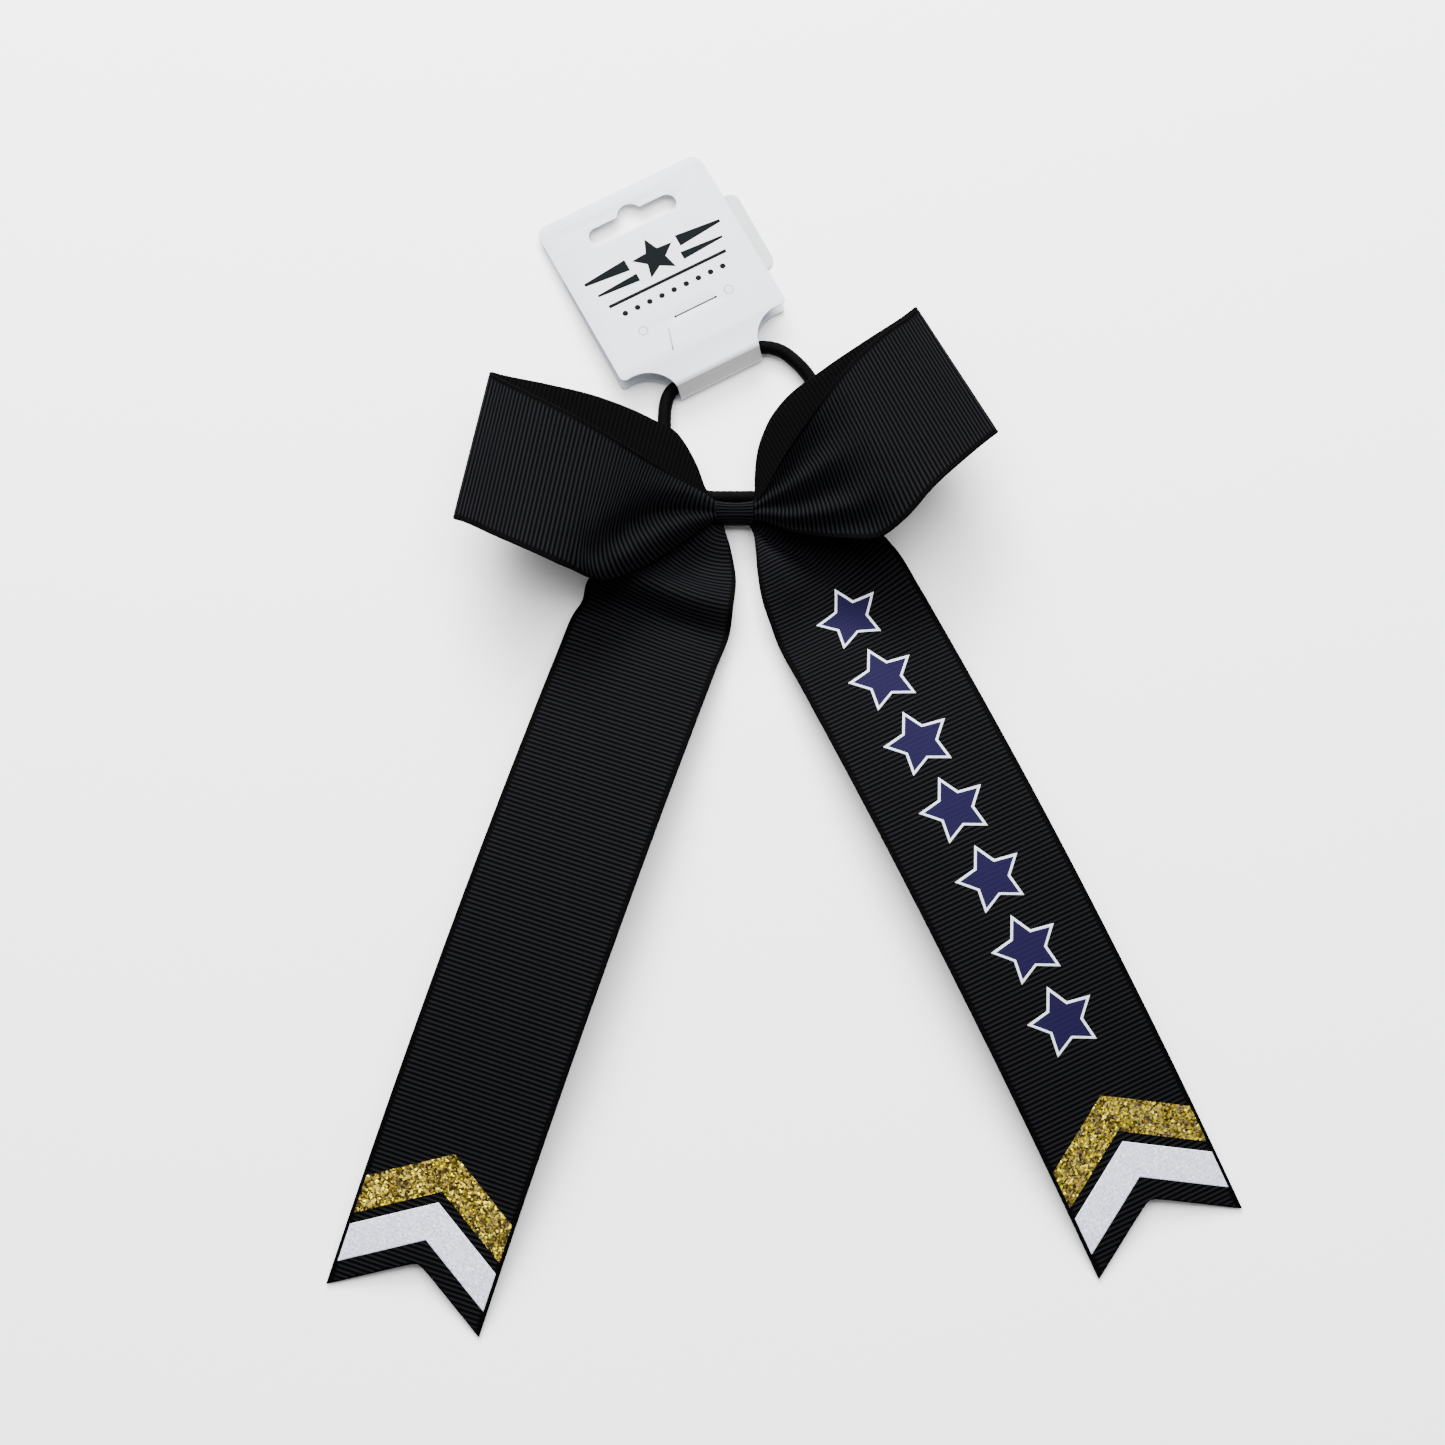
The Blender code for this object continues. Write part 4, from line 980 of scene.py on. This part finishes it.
# On a board, u runs along its crease from the middle and v away from the crease
BOARD_THICKNESS = 0.45
BOARD_ROUNDING = 0.05
STRIP = (3.6, 9.2)  # the folded strip's run and rise
STRIP_SLOPE = math.degrees(math.atan2(STRIP[1], STRIP[0]))
FLAP_LEVEL = 0.8
PANEL_LENGTH = 83.9
FLAP_LENGTH = 68.0
CARD_HALF = 35.0
PANEL_CORNER = 4.5
FLAP_CORNER = 6.0
PANEL_TAIL = -7.2  # how far each board runs on past its crease
FLAP_TAIL = -3.0
NOTCH_RADIUS = 13.2
NOTCH_U = 30.5
PANEL_NOTCH_V = -2.9
FLAP_NOTCH_V = 0.8
LOBE_RADIUS = 2.2
LOBE_START = -60  # degrees
SLOT_V = 69.8
SLOT_REACH = 14.6
SLOT_RADIUS = 3.8
HUMP_RISE = 2.2
HUMP_RADIUS = 5.0
SLIT_CENTRE = (3.8, 24.8)
SLIT_REACH = 8.6
SLIT_RADIUS = 0.5
STRIP_EDGE = -0.75  # the front board is the folded strip below this place, coloured darker there as painted shade

# Places where each board is scored so that it can bend, and its heading at places along it, in degrees
PANEL_SCORES = [-6, -4.5, -3, -2, -1.5, -1.1, -0.75, -0.4, 0, 0.4, 0.75, 1.1, 1.6, 2.4, 4, 7]
PANEL_SCORES += range(10, 84, 5)
FLAP_SCORES = [2.6, 2, 1.6, 1.2, 0.8, 0.4, 0, -0.4, -0.8, -1.2, -1.6, -2.4, -5, *range(-10, -68, -8)]
PANEL_BEND = [(-9.0, STRIP_SLOPE + 2), (-1.5, STRIP_SLOPE - 6), (-0.75, 48), (0.0, 28), (0.75, 9)]
PANEL_BEND += [(1.6, -2.4), (14.0, -4.6), (45.0, -5.6), (PANEL_LENGTH + 1, -7.4)]
FLAP_BEND = [(-(FLAP_LENGTH + 1), 180.0), (-1.6, 180.0), (-0.8, 166), (0.0, 124), (0.8, 82)]
FLAP_BEND += [(1.6, STRIP_SLOPE), (9.0, STRIP_SLOPE)]
PANEL_ANCHOR = (STRIP[0] - 0.15, FLAP_LEVEL + STRIP[1] - 0.25)
FLAP_ANCHOR = (0.25, FLAP_LEVEL + 0.35)

# Printed mark: a star between tapered bars, over a rule and a row of dots
MARK_STAR = (51.0, 9.0, 0.45)  # v of its middle, radius and inner share
MARK_BARS = (("high", 10.8, 29.0, 53.2, 5.0, 1.2), ("low", 9.4, 26.6, 46.6, 3.4, 0.9))
MARK_RULE = (25.0, 39.8, 41.2)  # half length, lower and upper edge
MARK_DOTS = 9
DOT_PITCH = 5.2
DOT_V = 35.2
DOT_RADIUS = 1.15
RING_PLACE = (18.2, 25.4)
RING_RADII = (1.7, 0.26)
RING_STEPS = (40, 10)
PRESS_MARK = [(-12.4, 12.5), (-11.9, 12.4), (-9.0, 21.8), (-9.5, 22.2)]


def arc(centre, radius, start, end, steps):
    turns = np.radians(np.linspace(start, end, steps + 1))
    return [(centre[0] + radius * math.cos(t), centre[1] + radius * math.sin(t)) for t in turns]


def board(name, outlines, lines, bend, mats, strip_end=-math.inf):
    """Flat board cut to the outlines, scored by extra lines across, then bent; edges are raw board."""
    data = bpy.data.curves.new(name, "CURVE")
    data.dimensions = "2D"
    data.fill_mode = "BOTH"
    data.extrude = BOARD_THICKNESS / 2
    data.bevel_depth = BOARD_ROUNDING
    data.bevel_resolution = 1
    data.offset = -BOARD_ROUNDING
    for outline in outlines:
        line = data.splines.new("POLY")
        line.points.add(len(outline) - 1)
        line.use_cyclic_u = True
        for target, (u, v) in zip(line.points, outline):
            target.co = (u, v, 0, 1)
    source = bpy.data.objects.new(name + "_outline", data)
    bpy.context.scene.collection.objects.link(source)
    bpy.context.view_layer.update()
    mesh = bpy.data.meshes.new_from_object(source.evaluated_get(bpy.context.evaluated_depsgraph_get()))
    bpy.data.objects.remove(source, do_unlink=True)
    bm = bmesh.new()
    bm.from_mesh(mesh)
    bmesh.ops.remove_doubles(bm, verts=bm.verts, dist=0.001)
    for v in lines:
        everything = bm.verts[:] + bm.edges[:] + bm.faces[:]
        bmesh.ops.bisect_plane(bm, geom=everything, plane_co=(0, v, 0), plane_no=(0, 1, 0), dist=1e-5)
    for face in bm.faces:
        # Faces on the folded strip take the third material, painted shade.
        on_strip = face.calc_center_median().y < strip_end
        face.material_index = (2 if on_strip else 0) if abs(face.normal.z) > 0.9 else 1
        face.smooth = abs(face.normal.z) > 0.9
    for vert in bm.verts:
        vert.co = Vector(bend(*vert.co)) * MM
    mesh.materials.clear()
    for mat in mats:
        mesh.materials.append(mat)
    bm.to_mesh(mesh)
    bm.free()
    obj = bpy.data.objects.new(name, mesh)
    bpy.context.scene.collection.objects.link(obj)
    return obj


def profile(headings, start, anchor):
    """Side view of a bent board from its heading at increasing places; returns place -> point, heading."""
    places = np.array([p for p, _ in headings], float)
    angles = np.radians([a for _, a in headings])
    fine = np.linspace(places[0], places[-1], 1200)
    turn = np.interp(fine, places, angles)
    step = np.diff(fine, prepend=fine[0])
    w, z = np.cumsum(np.cos(turn) * step), np.cumsum(np.sin(turn) * step)
    w += anchor[0] - np.interp(start, fine, w)
    z += anchor[1] - np.interp(start, fine, z)

    def find(v):
        return np.interp(v, fine, w), np.interp(v, fine, z), np.interp(v, fine, turn)

    return find


def mapped(find, side):
    """A function from places on a flat board to points on the bent one, lifted towards that side."""
    def bend(u, v, lift):
        w, z, turn = find(v)
        return card_point(u, w - math.sin(turn) * lift * side, z + math.cos(turn) * lift * side)

    return bend


ON_PANEL = mapped(profile(PANEL_BEND, 0.0, PANEL_ANCHOR), 1)
ON_FLAP = mapped(profile(FLAP_BEND, 0.0, FLAP_ANCHOR), -1)


def half_outline(length, corner, tail_v, notch_v):
    lobe_turn = math.degrees(math.acos((CARD_HALF - LOBE_RADIUS - NOTCH_U) / NOTCH_RADIUS))
    notch = arc((NOTCH_U, notch_v), NOTCH_RADIUS, 180, lobe_turn, 28)
    rim = notch[-1]
    rest = arc((rim[0], rim[1] + LOBE_RADIUS), LOBE_RADIUS, LOBE_START, 0, 6)
    rest += arc((CARD_HALF - corner, length - corner), corner, 0, 90, 12)
    return [(NOTCH_U - NOTCH_RADIUS, tail_v), *notch, *rest]


def slot_outline():
    low = math.degrees(math.asin((SLOT_RADIUS - HUMP_RISE) / HUMP_RADIUS))
    outline = arc((SLOT_REACH, SLOT_V), SLOT_RADIUS, -90, 90, 16)
    outline += arc((0, SLOT_V + HUMP_RISE), HUMP_RADIUS, low, 180 - low, 18)
    return outline + arc((-SLOT_REACH, SLOT_V), SLOT_RADIUS, 90, 270, 16)


def slit_outline():
    u, v = SLIT_CENTRE
    right = arc((u + SLIT_REACH, v), SLIT_RADIUS, -140, 140, 8)
    return right + arc((u - SLIT_REACH, v), SLIT_RADIUS, 40, 320, 8)


def card_boards():
    half = half_outline(PANEL_LENGTH, PANEL_CORNER, PANEL_TAIL, PANEL_NOTCH_V)
    outlines = [half + [(-u, v) for u, v in reversed(half)], slot_outline(), slit_outline()]
    mats = [BOARD, BOARD_EDGE, STRIP_PAINTED_SHADE]
    front = board("card_front_board", outlines, PANEL_SCORES, ON_PANEL, mats, STRIP_EDGE)
    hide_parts("card_front_panel", "card_fold_strip")
    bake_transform(front)

    half = [(u, -v) for u, v in half_outline(FLAP_LENGTH, FLAP_CORNER, FLAP_TAIL, FLAP_NOTCH_V)]
    rim = half + [(-u, v) for u, v in reversed(half)]
    back = board("card_back_board", [rim], FLAP_SCORES, ON_FLAP, [BOARD, BOARD_EDGE])
    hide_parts("card_back_flap")
    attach(back, "card_back")


def on_front(name, verts, faces, mat, lift):
    points = [ON_PANEL(u, v, BOARD_THICKNESS / 2 + BOARD_ROUNDING + lift + w) for u, v, w in verts]
    obj = new_object(name, np.array(points), faces, mat, smooth=mat is not PRINT)
    turn_outwards(obj)
    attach(obj, "card_front")


def embossed_ring(name, centre):
    radius, tube = RING_RADII
    around, small = RING_STEPS
    verts, faces = [], []
    for i in range(around):
        a = 2 * math.pi * i / around
        for j in range(small):
            b = 2 * math.pi * j / small
            reach = radius + tube * math.cos(b)
            verts.append((centre[0] + reach * math.cos(a), centre[1] + reach * math.sin(a),
                          0.45 * tube * math.sin(b)))
            k, m = (i + 1) % around, (j + 1) % small
            faces.append([i * small + j, k * small + j, k * small + m, i * small + m])
    # The ring is coloured in the darker board-edge grey: painted shade that draws it as a dark line.
    on_front(name, verts, faces, BOARD_EDGE, -0.03)


def printed(name, outline):
    count = len(outline)
    centre = (sum(u for u, _ in outline) / count, sum(v for _, v in outline) / count)
    flat = [*outline, centre]
    verts = [(u, v, 0.03) for u, v in flat] + [(u, v, -0.04) for u, v in flat]
    faces = []
    for i in range(count):
        j = (i + 1) % count
        faces += [[i, j, count], [count + 1 + j, count + 1 + i, 2 * count + 1]]
        faces.append([j, i, count + 1 + i, count + 1 + j])
    on_front(name, verts, faces, PRINT, 0.02)


def tapered_bar(sign, near, far, middle, thick, thin, steps=8):
    out = [(near + (far - near) * k / steps, k / steps) for k in range(steps + 1)]
    upper = [(sign * u, middle + (thick + (thin - thick) * k) / 2) for u, k in out]
    lower = [(sign * u, middle - (thick + (thin - thick) * k) / 2) for u, k in reversed(out)]
    return upper + lower


def card_mark():
    middle, radius, inner_share = MARK_STAR
    star = star_corners(radius, inner_share, math.pi / 2)
    printed("mark_star", [(u, middle + v) for u, v in star])
    for sign, side in ((-1, "left"), (1, "right")):
        for level, *shape in MARK_BARS:
            printed(f"mark_bar_{level}_{side}", tapered_bar(sign, *shape))
    half, low, high = MARK_RULE
    printed("mark_rule", [(-half, high), (half, high), (half, low), (-half, low)])
    for k in range(MARK_DOTS):
        u = DOT_PITCH * (k - (MARK_DOTS - 1) / 2)
        printed(f"mark_dot_{k + 1}", arc((u, DOT_V), DOT_RADIUS, 0, 330, 11))


def press_mark():
    """A pressed line in the board, beside the slit."""
    verts = [(u, v, 0.0) for u, v in PRESS_MARK] + [(u, v, -0.04) for u, v in PRESS_MARK]
    sides = [[i, (i + 1) % 4, 4 + (i + 1) % 4, 4 + i] for i in range(4)]
    on_front("press_mark", verts, [[0, 1, 2, 3], [7, 6, 5, 4], *sides], BOARD_EDGE, 0.02)


card_boards()
refinish("card_seal_label", LABEL)
embossed_ring("embossed_ring_left", (-RING_PLACE[0], RING_PLACE[1]))
embossed_ring("embossed_ring_right", RING_PLACE)
card_mark()
press_mark()


# ---------------------------------------------------------------- floor and lights

def floor_and_lights():
    bpy.ops.mesh.primitive_plane_add(size=6, location=(0, 0, -0.0004))
    floor = bpy.context.object
    floor.name = "floor"
    n = Nodes("floor_paper")
    where = n.add("ShaderNodeTexCoord").outputs["Object"]
    soft = n.noise(1.5, 2.0, where)
    tone = n.mix(n.math("MULTIPLY", soft, 0.15), (0.93, 0.93, 0.93, 1), (0.9, 0.9, 0.9, 1))
    floor.data.materials.append(n.finish(Base_Color=tone, Roughness=0.9))

    def area(name, size, energy, place, target):
        data = bpy.data.lights.new(name, "AREA")
        data.shape = "RECTANGLE"
        data.size, data.size_y = size
        data.energy = energy
        light = bpy.data.objects.new(name, data)
        bpy.context.scene.collection.objects.link(light)
        light.location = place
        light.rotation_mode = "QUATERNION"
        light.rotation_quaternion = (Vector(target) - Vector(place)).to_track_quat("-Z", "Y")

    area("overhead", (2.4, 1.8), 125, (0.0, 0.6, 1.75), (0, -0.05, 0))
    area("key", (1.0, 0.7), 105, (-0.25, 1.4, 1.0), (0, -0.02, 0))
    world = bpy.data.worlds.new("studio")
    world.use_nodes = True
    world.node_tree.nodes["Background"].inputs["Color"].default_value = (1, 1, 1, 1)
    world.node_tree.nodes["Background"].inputs["Strength"].default_value = 0.42
    bpy.context.scene.world = world


floor_and_lights()
